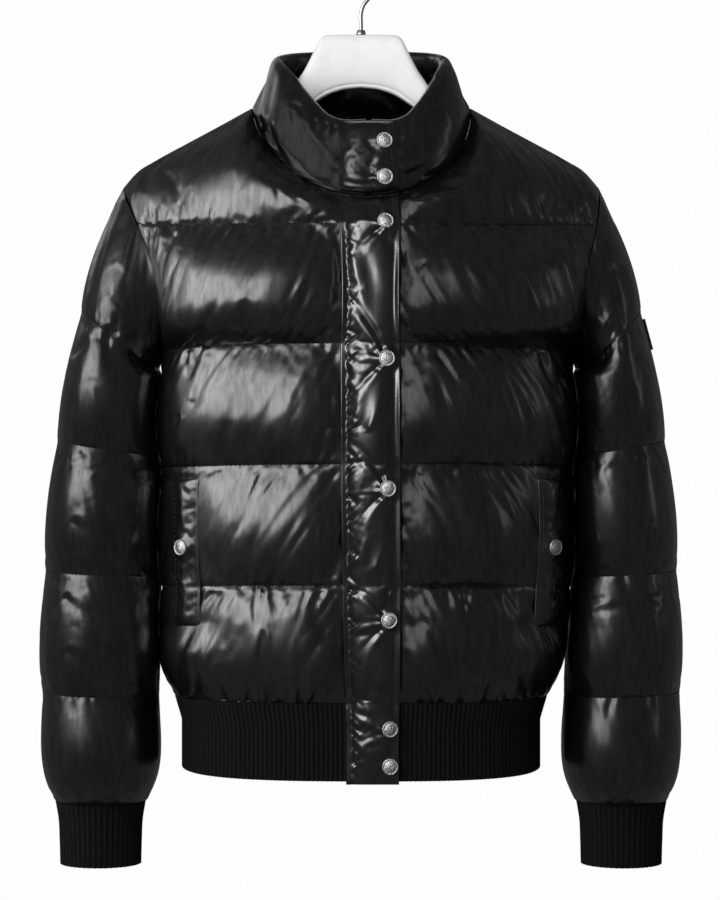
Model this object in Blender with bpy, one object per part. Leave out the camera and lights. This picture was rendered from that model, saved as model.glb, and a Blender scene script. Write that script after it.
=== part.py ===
# A padded bomber jacket with a stand collar, held up by a broad hanger.
# The frame: +Z up, +X to the viewer's right, the jacket's front faces -Y.
# The origin is where a rail would touch the inside of the hook.
# Sizes and tables are in millimetres and are turned into metres when a mesh is made.
# "right" and "left" in the names are the wearer's, so "right" is at -X.

import math

import bmesh
import bpy
import numpy as np
from mathutils import Vector
from mathutils.bvhtree import BVHTree

MM = 0.001

# Cloth
WALL = 3.0               # thickness of a quilted wall at its seams
SEAM_GAP = 0.2           # how far each piece stays back from its seam line
LAY_GAP = 0.4            # between a piece and the panel that it lies on
FACES = {"front": 1, "back": -1}
SIDES = {"right": -1, "left": 1}

# Neck seam: an oval that climbs from the centre front to the shoulders
NECK_HALF_WIDTH = 101.4
NECK_FRONT_DEPTH = 84.0
NECK_BACK_DEPTH = 66.0
NECK_SHOULDER_Z = -148.0
NECK_FRONT_DROP = 90.0
NECK_BACK_DROP = 12.0
FRONT_OPENING_X = 7.0    # the front opening lies a little to the viewer's right
NECK_SHARE = 0.5         # share of a panel's top edge that is neck, the rest is shoulder

# Shoulder seam from the neck to the sleeve
SHOULDER = {
    "at": (0.0, 0.25, 0.5, 0.75, 0.9, 1.0),
    "x": (101.4, 131.0, 161.0, 192.0, 209.0, 221.5),
    "z": (-148.0, -164.4, -180.5, -197.5, -208.5, -223.0),
}

# Armhole from the shoulder's end down to the armpit, the same at front and back
ARMHOLE = {
    "at": (0.0, 0.1, 0.23, 0.45, 0.66, 0.85, 1.0),
    "x": (221.5, 217.5, 210.5, 199.5, 192.0, 189.0, 189.8),
    "depth": (0.0, 20.0, 40.0, 58.0, 62.0, 46.0, 0.0),
    "z": (-223.0, -236.0, -259.5, -293.0, -328.0, -361.0, -384.0),
    "shift": (0.0, 2.0, 5.5, 8.0, 8.5, 7.5, 5.75),
}
ARMHOLE_YOKE_END = 0.23  # where the first quilting seam meets the armhole

# First quilting seam, across the chest and the upper back
CHEST_Z = -263.4
CHEST_DEPTH = {"front": 103.0, "back": 92.0}
CHEST_SWEEP = 62.0       # degrees of arc from the centre to the armhole

# Body below the armpit: one row for each seam and for each change of width
BODY = {
    "z": (-371.0, -425.0, -478.7, -586.5, -627.0, -665.0, -692.0),
    "right_x": (-184.0, -184.5, -184.5, -184.0, -184.0, -181.0, -172.0),
    "left_x": (195.5, 195.5, 195.3, 193.0, 188.0, 181.5, 172.0),
    "opening_x": (8.5, 8.8, 9.0, 10.0, 10.5, 11.0, 11.4),
    "front": (112.0, 115.0, 114.0, 111.0, 109.0, 106.0, 101.0),
    "back": (100.0, 103.0, 103.0, 102.0, 101.0, 98.0, 94.0),
}
BODY_ROUNDNESS = 2.6     # 2 is an ellipse, higher is boxier
SIDE_DROP = 8.0          # how much lower a quilting seam is at the side
BODY_SEAMS_Z = (-371.0, -478.7, -586.5, -692.0)

# How the rows of each quilted channel are spread between its two seams
CHANNEL_ROWS = (
    (0.0, 0.08, 0.35, 0.65, 0.92, 1.0),
    (0.0, 0.06, 0.2, 0.4, 0.6, 0.8, 0.94, 1.0),
    (0.0, 0.06, 0.3, 0.5, 0.7, 0.94, 1.0),
    (0.0, 0.06, 0.3, 0.5, 0.7, 0.94, 1.0),
    (0.0, 0.06, 0.34, 0.55, 0.78, 0.93, 1.0),
)
PUFF_ROUNDNESS = 0.75    # lower makes a channel flatter on top and steeper at its seams

# Columns of a front panel from the opening to the side seam, and of half a back
FLAP_EDGE = 0.107
WELT_EDGES = (0.62, 0.745)
FRONT_COLUMNS = (0.0155, 0.0535, FLAP_EDGE, 0.2, 0.3, 0.4, 0.5) + WELT_EDGES + (0.86, 1.0)
BACK_COLUMNS = (0.0, 0.125, 0.25, 0.375, 0.5) + WELT_EDGES + (0.86, 1.0)
NECK_EASE = 1.13         # keeps the flap the same width where it meets the neck

# Height of the padding across a panel, from its centre to the side
FRONT_PUFF = {
    "at": (0.0, FLAP_EDGE, 0.25, 0.45, 0.6, 0.75, 0.9, 1.0),
    "right": (0.0, 1.5, 14.0, 16.0, 14.0, 9.0, 5.0, 2.5),
    "left": (0.0, 3.5, 14.0, 16.0, 14.0, 9.0, 5.0, 2.5),
    "pocket": (0.0, 2.0, 13.0, 14.0, 2.5, 2.0, 4.0, 2.5),
}
BACK_PUFF = {
    "at": (0.0, 0.5, 0.75, 0.9, 1.0),
    "height": (16.0, 15.0, 7.5, 1.5, 1.5),
}
SIDE_SEAM_PUFF = 0.3     # share of the padding that is left where a side seam draws it in
GATHER_DEPTH = 3.0       # troughs of the gathers above the hem and the cuffs

# Sleeves: a row for each ring, "outer" is the arm's outside and "inner" faces the body
SLEEVE = {
    "at": (1.0, 2.0, 3.0, 4.0, 4.75, 5.0),
    "outer_x": (258.5, 280.5, 291.0, 293.5, 288.5, 282.0),
    "outer_z": (-337.6, -457.6, -576.6, -688.0, -766.0, -788.0),
    "right_inner_x": (190.0, 190.5, 190.0, 186.5, 189.5, 197.0),
    "left_inner_x": (201.5, 201.5, 199.0, 187.5, 189.5, 197.0),
    "inner_z": (-391.0, -473.0, -582.0, -691.0, -768.0, -788.0),
    "middle_y": (-6.0, -9.0, -13.0, -17.0, -19.0, -20.0),
    "half_depth": (64.0, 62.0, 60.0, 57.0, 52.0, 41.0),
}
SLEEVE_COLUMNS = 24
SLEEVE_CHANNELS = 5
SLEEVE_KEPT_INSIDE = ((0, 0.5), (4, 0.7))
SLEEVE_PUFF = {"outer": 2.4, "cap": 6.5, "face": 11.0, "inner": 1.0}
CAP_PUFF_LIMIT = 0.09    # height of the cap's padding, as a share of its length under the arm

# Cuffs
CUFF_RIBS = 46
CUFF_ROWS = {
    "z": (-788.2, -804.0, -846.7),
    "half_width": (41.0, 38.3, 36.6),
    "half_depth": (40.0, 36.5, 34.5),
}
CUFF_MIDDLE = (240.0, -20.0)
RIB_HEIGHT = 0.7         # half the height from a rib's valley to its crest
RIB_WALL = 3.0

# Hem band
HEM_RIBS = 204
HEM_BOTTOM_Z = -762.0
HEM_TOP_DROP = 0.6       # the band starts this far under the body's seam
HEM = {"right_x": -165.5, "left_x": 165.5, "front": 100.0, "back": 93.0}
HEM_SIDE_RISE = 6.0      # the band's lower edge is this much higher at the sides

# Collar: its top edge, by the angle round the neck from the centre front
COLLAR_TOP = {
    "angle": (0.0, 20.0, 27.0, 36.0, 46.0, 62.0, 90.0, 120.0, 150.0, 180.0),
    "z": (-166.0, -165.0, -161.0, -150.0, -137.0, -119.0, -102.0, -93.0, -88.0, -85.5),
}
COLLAR_TOP_HALF_WIDTH = 80.0
COLLAR_TOP_FRONT = 72.0
COLLAR_TOP_BACK = 55.0
# Its padded section from the outer seam over the top to the inner seam:
# "up" is the share of the height, "out" and "puff" are offsets from the line seam to top
COLLAR_SECTION = {
    "up": (0.0, 0.12, 0.35, 0.62, 0.84, 0.96, 1.0, 0.97, 0.82, 0.45, 0.12, 0.0),
    "out": (0.0, 1.0, 2.0, 2.5, 2.5, 0.5, -4.0, -9.5, -13.0, -12.0, -7.0, -3.0),
    "puff": (0.0, 0.5, 1.0, 1.0, 0.6, 0.2, 0.0, 0.0, 0.0, 0.0, 0.0, 0.0),
}
COLLAR_OUTSIDE_ROWS = 6
COLLAR_PUFF = {
    "angle": (0.0, 25.0, 50.0, 75.0, 90.0, 105.0, 130.0, 180.0),
    "height": (1.0, 5.0, 7.5, 1.0, -3.0, -1.0, 5.0, 8.0),
}
COLLAR_THIN_END = {"angle": (0.0, 30.0, 60.0), "share": (0.55, 0.75, 1.0)}

# Flap over the opening, and the welts over the pockets
FLAP_EDGE_THICKNESS = 2.5
FLAP_MIDDLE_THICKNESS = 7.5
FLAP_HEM_LEVELS = (-710.0, -737.0)   # its rows over the hem band
FLAP_BOTTOM_Z = -764.5
COLLAR_FLAP_THICKNESS = 6.0
WELT_EDGE_THICKNESS = 2.5
WELT_MIDDLE_THICKNESS = 7.0
WELT_RISE = 1.5          # how far its middle line stands off the panel
WELT_BOTTOM_SHARE = 0.34

# Press studs
STUD_RADIUS = 7.4
STUD_PROFILE = ((1.0, 0.0), (1.0, 1.2), (0.82, 1.7), (0.45, 2.8))   # share of the radius, height
STUD_SIDES = 14
STUD_GAP = 0.3
STUD_X = {"top": 21.0, "bottom": 26.0}
STUD_Z = (-187.5, -220.5, -262.0, -384.5, -500.0, -617.0, -714.5, -748.0)
WELT_STUD_ROW_Z = -553.5

# Patch on the wearer's left sleeve
PATCH_THICKNESS = 1.6

# Hanger: a row for each station from the middle to the end of an arm
HANGER = {
    "x": (0.0, 18.0, 33.0, 38.0, 44.0, 52.0, 62.8, 80.0, 101.0, 131.0, 161.0, 190.0, 204.0, 210.0),
    "top": (
        -80.0, -80.0, -80.5, -84.0, -96.0, -112.0, -128.0, -145.0, -158.5, -171.0, -187.5, -205.0,
        -217.5, -223.0,
    ),
    "bottom": (
        -129.3, -131.5, -137.0, -140.0, -144.0, -149.5, -157.0, -167.5, -180.0, -196.0, -212.0, -228.0,
        -235.0, -231.0,
    ),
    "half_depth": (7.0, 7.5, 8.0, 8.5, 9.0, 9.5, 10.0, 10.0, 10.0, 12.5, 13.0, 12.5, 9.0, 4.0),
}
HANGER_SIDES = 12
WIRE_RADIUS = 1.85
HOOK_RADIUS = 22.0
HOOK_STEM = ((0.0, -79.6), (0.0, -70.0), (0.0, -60.0), (2.2, -52.5), (7.6, -45.4))
HOOK_ARC = (-58.0, 198.0)
HOOK_ARC_STEPS = 20
FERRULE_RADIUS = 4.6
FERRULE_HEIGHT = 4.0

# Colour, roughness and metallic value of each finish
FINISHES = {
    "nylon": ((0.012, 0.012, 0.013), 0.28, 0.0),
    "rib_knit": ((0.010, 0.010, 0.011), 0.92, 0.0),
    "nickel": ((0.72, 0.71, 0.69), 0.22, 1.0),
    "patch": ((0.014, 0.014, 0.015), 0.7, 0.0),
    "zip_black": ((0.02, 0.02, 0.02), 0.5, 0.0),
    "hanger_white": ((0.86, 0.86, 0.87), 0.25, 0.0),
    "steel": ((0.66, 0.66, 0.68), 0.25, 1.0),
}


def lerp(a, b, share):
    return a + (b - a) * share


def smooth(places, values, at):
    """A cubic through the rows of a table, each row's slope taken from its neighbours."""
    places = np.asarray(places, float)
    values = np.asarray(values, float)
    slopes = np.gradient(values, places)
    i = int(np.clip(np.searchsorted(places, at) - 1, 0, len(places) - 2))
    step = places[i + 1] - places[i]
    t = min(max((at - places[i]) / step, 0.0), 1.0)
    start = (1 + 2 * t) * (1 - t) ** 2 * values[i] + t * (1 - t) ** 2 * step * slopes[i]
    end = t * t * (3 - 2 * t) * values[i + 1] + t * t * (t - 1) * step * slopes[i + 1]
    return float(start + end)


def unit(vector):
    return vector / np.linalg.norm(vector)


def armhole(side, face, at):
    """A point of the armhole seam, from the shoulder (0) to the armpit (1)."""
    read = {name: smooth(ARMHOLE["at"], ARMHOLE[name], at) for name in ("x", "depth", "z", "shift")}
    x = SIDES[side] * read["x"] + read["shift"]
    return np.array((x, -FACES[face] * read["depth"], read["z"]))


def neck(side, angle):
    """A point of the neck seam, by the angle from the centre front to the centre back."""
    turn = math.radians(angle)
    across = SIDES[side] * NECK_HALF_WIDTH * math.sin(turn)
    along = math.cos(turn)
    if angle <= 90.0:
        drop = NECK_FRONT_DROP * along ** 1.07
        return np.array((across + FRONT_OPENING_X * along, -NECK_FRONT_DEPTH * along, NECK_SHOULDER_Z - drop))
    drop = NECK_BACK_DROP * abs(along) ** 1.5
    return np.array((across, NECK_BACK_DEPTH * -along, NECK_SHOULDER_Z - drop))


def neck_angle(face, column):
    """The neck angle at a panel's column."""
    share = min(column / NECK_SHARE, 1.0)
    if face == "front":
        return 90.0 * share ** NECK_EASE
    return 180.0 - 90.0 * share


def top_edge(side, face, column):
    """A panel's top edge: the neck seam and then the shoulder seam."""
    if column <= NECK_SHARE:
        return neck(side, neck_angle(face, column))
    at = (column - NECK_SHARE) / (1.0 - NECK_SHARE)
    x = SIDES[side] * smooth(SHOULDER["at"], SHOULDER["x"], at)
    return np.array((x, 0.0, smooth(SHOULDER["at"], SHOULDER["z"], at)))


def centre_x(face, at_z):
    if face == "front":
        return smooth([-z for z in BODY["z"]], BODY["opening_x"], -at_z)
    left = smooth([-z for z in BODY["z"]], BODY["left_x"], -at_z)
    right = smooth([-z for z in BODY["z"]], BODY["right_x"], -at_z)
    return (left + right) / 2


def chest(side, face, column):
    """The first quilting seam, from the centre to the armhole."""
    end = armhole(side, face, ARMHOLE_YOKE_END)
    sweep = math.radians(CHEST_SWEEP)
    turn = sweep * column
    start_x = centre_x(face, BODY["z"][0])
    share = (math.cos(turn) - math.cos(sweep)) / (1 - math.cos(sweep))
    x = lerp(start_x, end[0], math.sin(turn) / math.sin(sweep))
    y = lerp(end[1], -FACES[face] * CHEST_DEPTH[face], share)
    return np.array((x, y, lerp(CHEST_Z, end[2], column ** 2)))


def quarter(width, depth, column):
    """A point a share of the way along a rounded quarter: how far across, and how deep."""
    turns = np.linspace(0, math.pi / 2, 65)
    across = width * np.sin(turns) ** (2 / BODY_ROUNDNESS)
    deep = depth * np.clip(np.cos(turns), 0, 1) ** (2 / BODY_ROUNDNESS)
    length = np.concatenate(((0,), np.cumsum(np.hypot(np.diff(across), np.diff(deep)))))
    at = column * length[-1]
    return float(np.interp(at, length, across)), float(np.interp(at, length, deep))


def body_ring(side, face, at_z, column):
    """A point of the body below the armpit."""
    down = [-z for z in BODY["z"]]
    middle = centre_x(face, at_z)
    edge = smooth(down, BODY[side + "_x"], -at_z)
    depth = smooth(down, BODY[face], -at_z)
    across, deep = quarter(abs(edge - middle), depth, column)
    x = middle + SIDES[side] * across
    level = at_z - SIDE_DROP * column ** 3 * min(1.0, (BODY_SEAMS_Z[-1] - at_z) / -100.0)
    return np.array((x, -FACES[face] * deep, level))


def patch(top, bottom, inner, outer, u, v, depth_share):
    """A smooth surface between four edges, its depth running ahead of its height."""
    corners = lerp(lerp(top(0), top(1), u), lerp(bottom(0), bottom(1), u), v)
    point = lerp(top(u), bottom(u), v) + lerp(inner(v), outer(v), u) - corners
    ahead = v ** depth_share
    corners = lerp(lerp(top(0), top(1), u), lerp(bottom(0), bottom(1), u), ahead)
    eased = lerp(top(u), bottom(u), ahead) + lerp(inner(v), outer(v), u) - corners
    point[1] = eased[1] if depth_share < 1 else point[1]
    return point


def body_point(side, face, channel, share, column):
    """A point of the body's smooth skin, through all its seams."""
    if channel == 0:
        start, end = top_edge(side, face, 0), chest(side, face, 0)
        wide = min(column / NECK_SHARE, 1.0)
        return patch(
            lambda u: top_edge(side, face, u),
            lambda u: chest(side, face, u),
            lambda v: lerp(start, end, v),
            lambda v: armhole(side, face, ARMHOLE_YOKE_END * v),
            column, share, lerp(1.0, 0.6, wide * wide * (3 - 2 * wide)),
        )
    if channel == 1:
        start, end = chest(side, face, 0), body_ring(side, face, BODY_SEAMS_Z[0], 0)
        return patch(
            lambda u: chest(side, face, u),
            lambda u: side_level(body_ring(side, face, BODY_SEAMS_Z[0], u), u),
            lambda v: lerp(start, end, v),
            lambda v: armhole(side, face, lerp(ARMHOLE_YOKE_END, 1.0, v)),
            column, share, 1.0,
        )
    level = lerp(BODY_SEAMS_Z[channel - 2], BODY_SEAMS_Z[channel - 1], share)
    point = body_ring(side, face, level, column)
    fade = 1 - share if channel == 2 else 0.0
    return point + fade * (side_level(point, column) - point)


def side_level(point, column):
    """Lowers the armpit's end of the seam under the arms to the armpit."""
    point = point.copy()
    point[2] -= (SIDE_DROP_AT_ARMPIT - SIDE_DROP) * column ** 6
    return point


SIDE_DROP_AT_ARMPIT = -ARMHOLE["z"][-1] + BODY_SEAMS_Z[0]


def row_list():
    """All rows of a body panel, top to bottom, as (channel, share)."""
    rows = [(0, 0.0)]
    for channel, shares in enumerate(CHANNEL_ROWS):
        rows += [(channel, share) for share in shares[1:]]
    return rows


ROWS = row_list()
KEPT_INSIDE = [j for j, (channel, share) in enumerate(ROWS) if channel < 2 or share == 1.0]
SIDE_SEAM_START = len(CHANNEL_ROWS[0]) + len(CHANNEL_ROWS[1]) - 2
YOKE_END = len(CHANNEL_ROWS[0]) - 1


def puff(share):
    """The rise of the padding between two seams, 0 at each and 1 midway."""
    return max(math.sin(math.pi * share), 0.0) ** PUFF_ROUNDNESS


def front_height(side, channel, share, column):
    row = side
    if channel == 3 or (channel == 4 and share < 0.5):
        row = "pocket"
    height = smooth(FRONT_PUFF["at"], FRONT_PUFF[row], column) * puff(share)
    if channel == 4 and WELT_EDGES[0] <= column <= WELT_EDGES[1] and share <= WELT_BOTTOM_SHARE:
        height = min(height, 3.0)
    return height


def back_height(channel, share, column):
    return smooth(BACK_PUFF["at"], BACK_PUFF["height"], column) * puff(share)


def gather(channel, share, place):
    """Every other column sinks into a gather just above the hem."""
    if channel == 4 and 0.7 < share < 1.0 and place % 2 == 0:
        return GATHER_DEPTH
    return 0.0


def surface_normals(points, outward):
    """Unit normals of a grid of points, turned to the side that outward says."""
    along = np.gradient(points, axis=1)
    down = np.gradient(points, axis=0)
    normals = np.cross(along, down)
    normals /= np.maximum(np.linalg.norm(normals, axis=2, keepdims=True), 1e-9)
    facing = np.sum(normals * outward)
    return normals if facing > 0 else -normals


def seam_direction(kind, point, side, face):
    """The direction in which a wall's edge is cut, the same for both pieces that meet there."""
    if kind == "neck":
        return neck_direction(point)
    if kind == "shoulder":
        return unit(np.array((SIDES[side] * 0.5, 0.0, 0.87)))
    if kind == "side":
        return np.array((float(SIDES[side]), 0.0, 0.0))
    return armhole_direction(side, point)


def neck_direction(point):
    flat = unit(np.array((point[0] / NECK_HALF_WIDTH, point[1] / NECK_FRONT_DEPTH, 0.0)))
    return unit(flat + np.array((0.0, 0.0, 0.45 + 0.4 * abs(flat[0]))))


def armhole_direction(side, point):
    top, bottom = armhole(side, "front", 0.0), armhole(side, "front", 1.0)
    axis = unit(bottom - top)
    centre = lerp(top, bottom, 0.5)
    outward = point - centre
    sideways = np.cross(axis, np.array((0.0, 1.0, 0.0))) * -SIDES[side]
    outward -= sideways * np.dot(outward, sideways)
    outward = unit(outward)
    high = (1 - np.dot(outward, axis)) / 2
    return unit(outward + np.array((SIDES[side] * 0.6 * high, 0.0, 0.0)))


def level_direction(normals):
    """Turns normals level, for an edge that a knitted band continues."""
    level = normals * np.array((1.0, 1.0, 0.0))
    return level / np.linalg.norm(level, axis=1, keepdims=True)


def pull_back(points):
    """Moves a grid's four edges a little inward, which leaves the gap at each seam."""
    pulled = points.copy()
    for edge, inner in ((0, 1), (-1, -2)):
        step = points[inner] - points[edge]
        pulled[edge] += SEAM_GAP * step / np.maximum(np.linalg.norm(step, axis=1, keepdims=True), 1e-9)
    for edge, inner in ((0, 1), (-1, -2)):
        step = points[:, inner] - points[:, edge]
        pulled[:, edge] += SEAM_GAP * step / np.maximum(np.linalg.norm(step, axis=1, keepdims=True), 1e-9)
    return pulled


def half_panel(side, face, columns):
    """Grids of one half's outer and inner points, rows by columns."""
    skin = np.array([[body_point(side, face, c, s, u) for u in columns] for c, s in ROWS])
    outward = skin * np.array((1.0, 1.0, 0.0))
    normals = surface_normals(skin, outward)
    for i, column in enumerate(columns):
        kind = "neck" if column <= NECK_SHARE else "shoulder"
        normals[0, i] = seam_direction(kind, skin[0, i], side, face)
    for j in range(len(ROWS)):
        kind = "armhole" if j <= SIDE_SEAM_START else "side"
        if j != SIDE_SEAM_START:
            normals[j, -1] = seam_direction(kind, skin[j, -1], side, face)
        else:
            normals[j, -1] = np.array((0.0, 0.0, -1.0))
    normals[-1] = level_direction(normals[-1])
    heights = np.zeros(skin.shape[:2])
    for j, (channel, share) in enumerate(ROWS):
        for i, column in enumerate(columns):
            if face == "front":
                heights[j, i] = front_height(side, channel, share, column)
            else:
                heights[j, i] = back_height(channel, share, column)
            heights[j, i] = max(heights[j, i] - gather(channel, share, i), 0.0)
    heights[:SIDE_SEAM_START + 1, -1] = 0.0
    heights[SIDE_SEAM_START + 1:, -1] *= SIDE_SEAM_PUFF
    return skin, normals, heights


def lattice(bm, points, closed=False, flip=False):
    """Vertices at a grid of points, joined by triangles whose diagonal always falls towards +X."""
    rows = [[bm.verts.new(Vector(p) * MM) for p in row] for row in points]
    count = len(rows[0])
    for upper, lower in zip(rows, rows[1:]):
        for i in range(count if closed else count - 1):
            a, b, c, d = upper[i], upper[(i + 1) % count], lower[(i + 1) % count], lower[i]
            halves = ((a, b, c), (a, c, d)) if a.co.x < b.co.x else ((a, b, d), (b, c, d))
            for corners in halves:
                bm.faces.new(corners[::-1] if flip else corners)
    return rows


def rim(bm, fine, coarse, picks, closed=False):
    """Closes the edge between an outer chain and an inner one that has only the picked places.
    A four-cornered part is cut from its higher outer corner, so that two pieces match."""
    spans = [(fine[a:b + 1], coarse[k], coarse[k + 1]) for k, (a, b) in enumerate(zip(picks, picks[1:]))]
    if closed:
        spans.append((fine[picks[-1]:] + [fine[0]], coarse[-1], coarse[0]))
    for outside, start, end in spans:
        if len(outside) > 2:
            bm.faces.new(outside + [end, start])
        elif outside[0].co.z > outside[1].co.z:
            bm.faces.new((outside[0], outside[1], end))
            bm.faces.new((outside[0], end, start))
        else:
            bm.faces.new((outside[0], outside[1], start))
            bm.faces.new((outside[1], end, start))


def new_object(name, bm, finish, smooth_angle=40.0):
    """A named object from a bmesh, with its faces pointing out and its own finish."""
    bmesh.ops.recalc_face_normals(bm, faces=bm.faces[:])
    mesh = bpy.data.meshes.new(name)
    bm.to_mesh(mesh)
    bm.free()
    mesh.shade_smooth()
    mesh.set_sharp_from_angle(angle=math.radians(smooth_angle))
    mesh.materials.append(material(name, finish))
    obj = bpy.data.objects.new(name, mesh)
    bpy.context.scene.collection.objects.link(obj)
    return obj


def material(name, finish):
    colour, roughness, metallic = FINISHES[finish]
    made = bpy.data.materials.new(name + "_" + finish)
    made.use_nodes = True
    shader = made.node_tree.nodes["Principled BSDF"]
    shader.inputs["Base Color"].default_value = (*colour, 1.0)
    shader.inputs["Roughness"].default_value = roughness
    shader.inputs["Metallic"].default_value = metallic
    made.diffuse_color = (*colour, 1.0)
    return made


def panel_object(name, outer, inner, kept):
    """A quilted panel: a padded outer grid over a plain inner one with fewer rows."""
    bm = bmesh.new()
    out = lattice(bm, outer)
    back = lattice(bm, inner[kept], flip=True)
    every = list(range(len(outer[0])))
    rim(bm, out[0], back[0], every)
    rim(bm, out[-1], back[-1], every)
    for edge in (0, -1):
        rim(bm, [row[edge] for row in out], [row[edge] for row in back], kept)
    return new_object(name, bm, "nylon")


def tube_object(name, outer, inner, row_picks, column_picks, finish):
    """A closed sleeve or cuff: an outer tube, an inner one, and a rim at each end."""
    bm = bmesh.new()
    out = lattice(bm, outer, closed=True)
    back = lattice(bm, inner[row_picks][:, column_picks], closed=True, flip=True)
    for edge in (0, -1):
        rim(bm, out[edge], back[edge], column_picks, closed=True)
    return new_object(name, bm, finish)


def make_fronts():
    """The two quilted fronts. Their outer points are kept for the pieces that lie on them."""
    grids = {}
    for side in SIDES:
        skin, normals, heights = half_panel(side, "front", FRONT_COLUMNS)
        outer = skin + normals * heights[:, :, None]
        inner = skin - normals * WALL
        panel_object("front_" + side, pull_back(outer), pull_back(inner), KEPT_INSIDE)
        grids[side] = (outer, normals)
    return grids


def make_back():
    halves = {side: half_panel(side, "back", BACK_COLUMNS) for side in SIDES}
    joined = []
    for right, left in zip(halves["right"], halves["left"]):
        joined.append(np.concatenate((right[:, :0:-1], left), axis=1))
    skin, normals, heights = joined
    outer = skin + normals * heights[:, :, None]
    inner = skin - normals * WALL
    panel_object("back", pull_back(outer), pull_back(inner), KEPT_INSIDE)


def sleeve_ring(side, at, turn):
    """A point of the sleeve's smooth skin below its cap."""
    read = {name: smooth(SLEEVE["at"], SLEEVE[name], at) for name in SLEEVE if name != "at"}
    outer = np.array((SIDES[side] * read["outer_x"], read["middle_y"], read["outer_z"]))
    inner = np.array((SIDES[side] * read[side + "_inner_x"], read["middle_y"], read["inner_z"]))
    half = (outer - inner) / 2
    across = half * math.cos(turn)
    deep = np.array((0.0, -read["half_depth"] * math.sin(turn), 0.0))
    return (outer + inner) / 2 + across + deep


def armhole_places():
    """The armhole places that the panels' rows give, from the shoulder to the armpit."""
    yoke = [ARMHOLE_YOKE_END * share for share in CHANNEL_ROWS[0]]
    lower = [lerp(ARMHOLE_YOKE_END, 1.0, share) for share in CHANNEL_ROWS[1][1:]]
    return yoke + lower


def sleeve_skin(side, at, column):
    turn = 2 * math.pi * column / SLEEVE_COLUMNS
    if at >= 1.0:
        return sleeve_ring(side, at, turn)
    places = armhole_places()
    half = SLEEVE_COLUMNS // 2
    face = "front" if column <= half else "back"
    place = places[column if column <= half else SLEEVE_COLUMNS - column]
    start, end = armhole(side, face, place), sleeve_ring(side, 1.0, turn)
    return lerp(start, end, at)


def sleeve_height(side, channel, share, column):
    turn = 2 * math.pi * column / SLEEVE_COLUMNS
    facing = abs(math.sin(turn))
    edge = SLEEVE_PUFF["cap" if channel == 0 else "outer"] if math.cos(turn) > 0 else SLEEVE_PUFF["inner"]
    height = lerp(edge, SLEEVE_PUFF["face"], facing ** 1.5) * puff(share)
    if channel == 0:
        length = np.linalg.norm(sleeve_skin(side, 1.0, column) - sleeve_skin(side, 0.0, column))
        height = min(height, CAP_PUFF_LIMIT * length) * (1 + math.cos(turn)) / 2
    if channel == SLEEVE_CHANNELS - 1 and 0.7 < share < 1.0 and column % 3 == 0:
        height = max(height - GATHER_DEPTH, 0.0)
    return height


def make_sleeve(side):
    """A quilted sleeve from the armhole to the cuff. Returns its outer grid for the patch."""
    spread = CHANNEL_ROWS[2]
    rows = [(0, 0.0)] + [(c, s) for c in range(SLEEVE_CHANNELS) for s in spread[1:]]
    columns = range(SLEEVE_COLUMNS)
    skin = np.array([[sleeve_skin(side, c + s, k) for k in columns] for c, s in rows])
    wrapped = np.concatenate((skin[:, -1:], skin, skin[:, :1]), axis=1)
    outward = wrapped - wrapped.mean(axis=1, keepdims=True)
    normals = surface_normals(wrapped, outward)[:, 1:-1]
    for k in columns:
        normals[0, k] = armhole_direction(side, skin[0, k])
    normals[0, SLEEVE_COLUMNS // 2] = np.array((0.0, 0.0, -1.0))
    normals[-1] = level_direction(normals[-1])
    heights = np.array([[sleeve_height(side, c, s, k) for k in columns] for c, s in rows])
    outer = skin + normals * heights[:, :, None]
    inner = skin - normals * WALL
    for grid in (outer, inner):
        for edge, near in ((0, 1), (-1, -2)):
            step = grid[near] - grid[edge]
            grid[edge] += SEAM_GAP * step / np.linalg.norm(step, axis=1, keepdims=True)
    kept = [j for j, row in enumerate(rows) if j == 0 or row[1] == 1.0 or row in SLEEVE_KEPT_INSIDE]
    tube_object("sleeve_" + side, outer, inner, kept, list(columns), "nylon")
    return outer, normals


def rib_lift(count):
    """The height of each column of a ribbed knit: crest, valley, crest."""
    return np.where(np.arange(count) % 2 == 0, RIB_HEIGHT, -RIB_HEIGHT)


def make_cuff(side):
    """A knitted cuff with upright ribs outside and a plain inside."""
    turns = np.linspace(0, 2 * math.pi, 2 * CUFF_RIBS, endpoint=False)
    round_x, round_y = np.cos(turns), np.sin(turns)
    middle_x = SIDES[side] * CUFF_MIDDLE[0]
    outer, inner = [], []
    for z, width, depth in zip(CUFF_ROWS["z"], CUFF_ROWS["half_width"], CUFF_ROWS["half_depth"]):
        outer.append([
            (middle_x + (width + r) * x, CUFF_MIDDLE[1] + (depth + r) * y, z)
            for x, y, r in zip(round_x, round_y, rib_lift(len(turns)))
        ])
        inner.append([
            (middle_x + (width - RIB_WALL) * x, CUFF_MIDDLE[1] + (depth - RIB_WALL) * y, z)
            for x, y in zip(round_x, round_y)
        ])
    rows = list(range(len(CUFF_ROWS["z"])))
    tube_object("cuff_" + side, np.array(outer), np.array(inner), rows, list(range(0, len(turns), 4)), "rib_knit")


def hem_ring(side, face, level, column):
    """A point of the hem band's smooth skin."""
    top = body_ring(side, face, BODY_SEAMS_Z[-1], column)
    middle = centre_x(face, BODY_SEAMS_Z[-1])
    across, deep = quarter(abs(HEM[side + "_x"] - middle), HEM[face], column)
    low = np.array((middle + SIDES[side] * across, -FACES[face] * deep, HEM_BOTTOM_Z))
    share = (BODY_SEAMS_Z[-1] - level) / (BODY_SEAMS_Z[-1] - HEM_BOTTOM_Z)
    point = lerp(top, low, min(3 * share, 1.0))
    point[2] = level + HEM_SIDE_RISE * share * column ** 4
    return point


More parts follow.
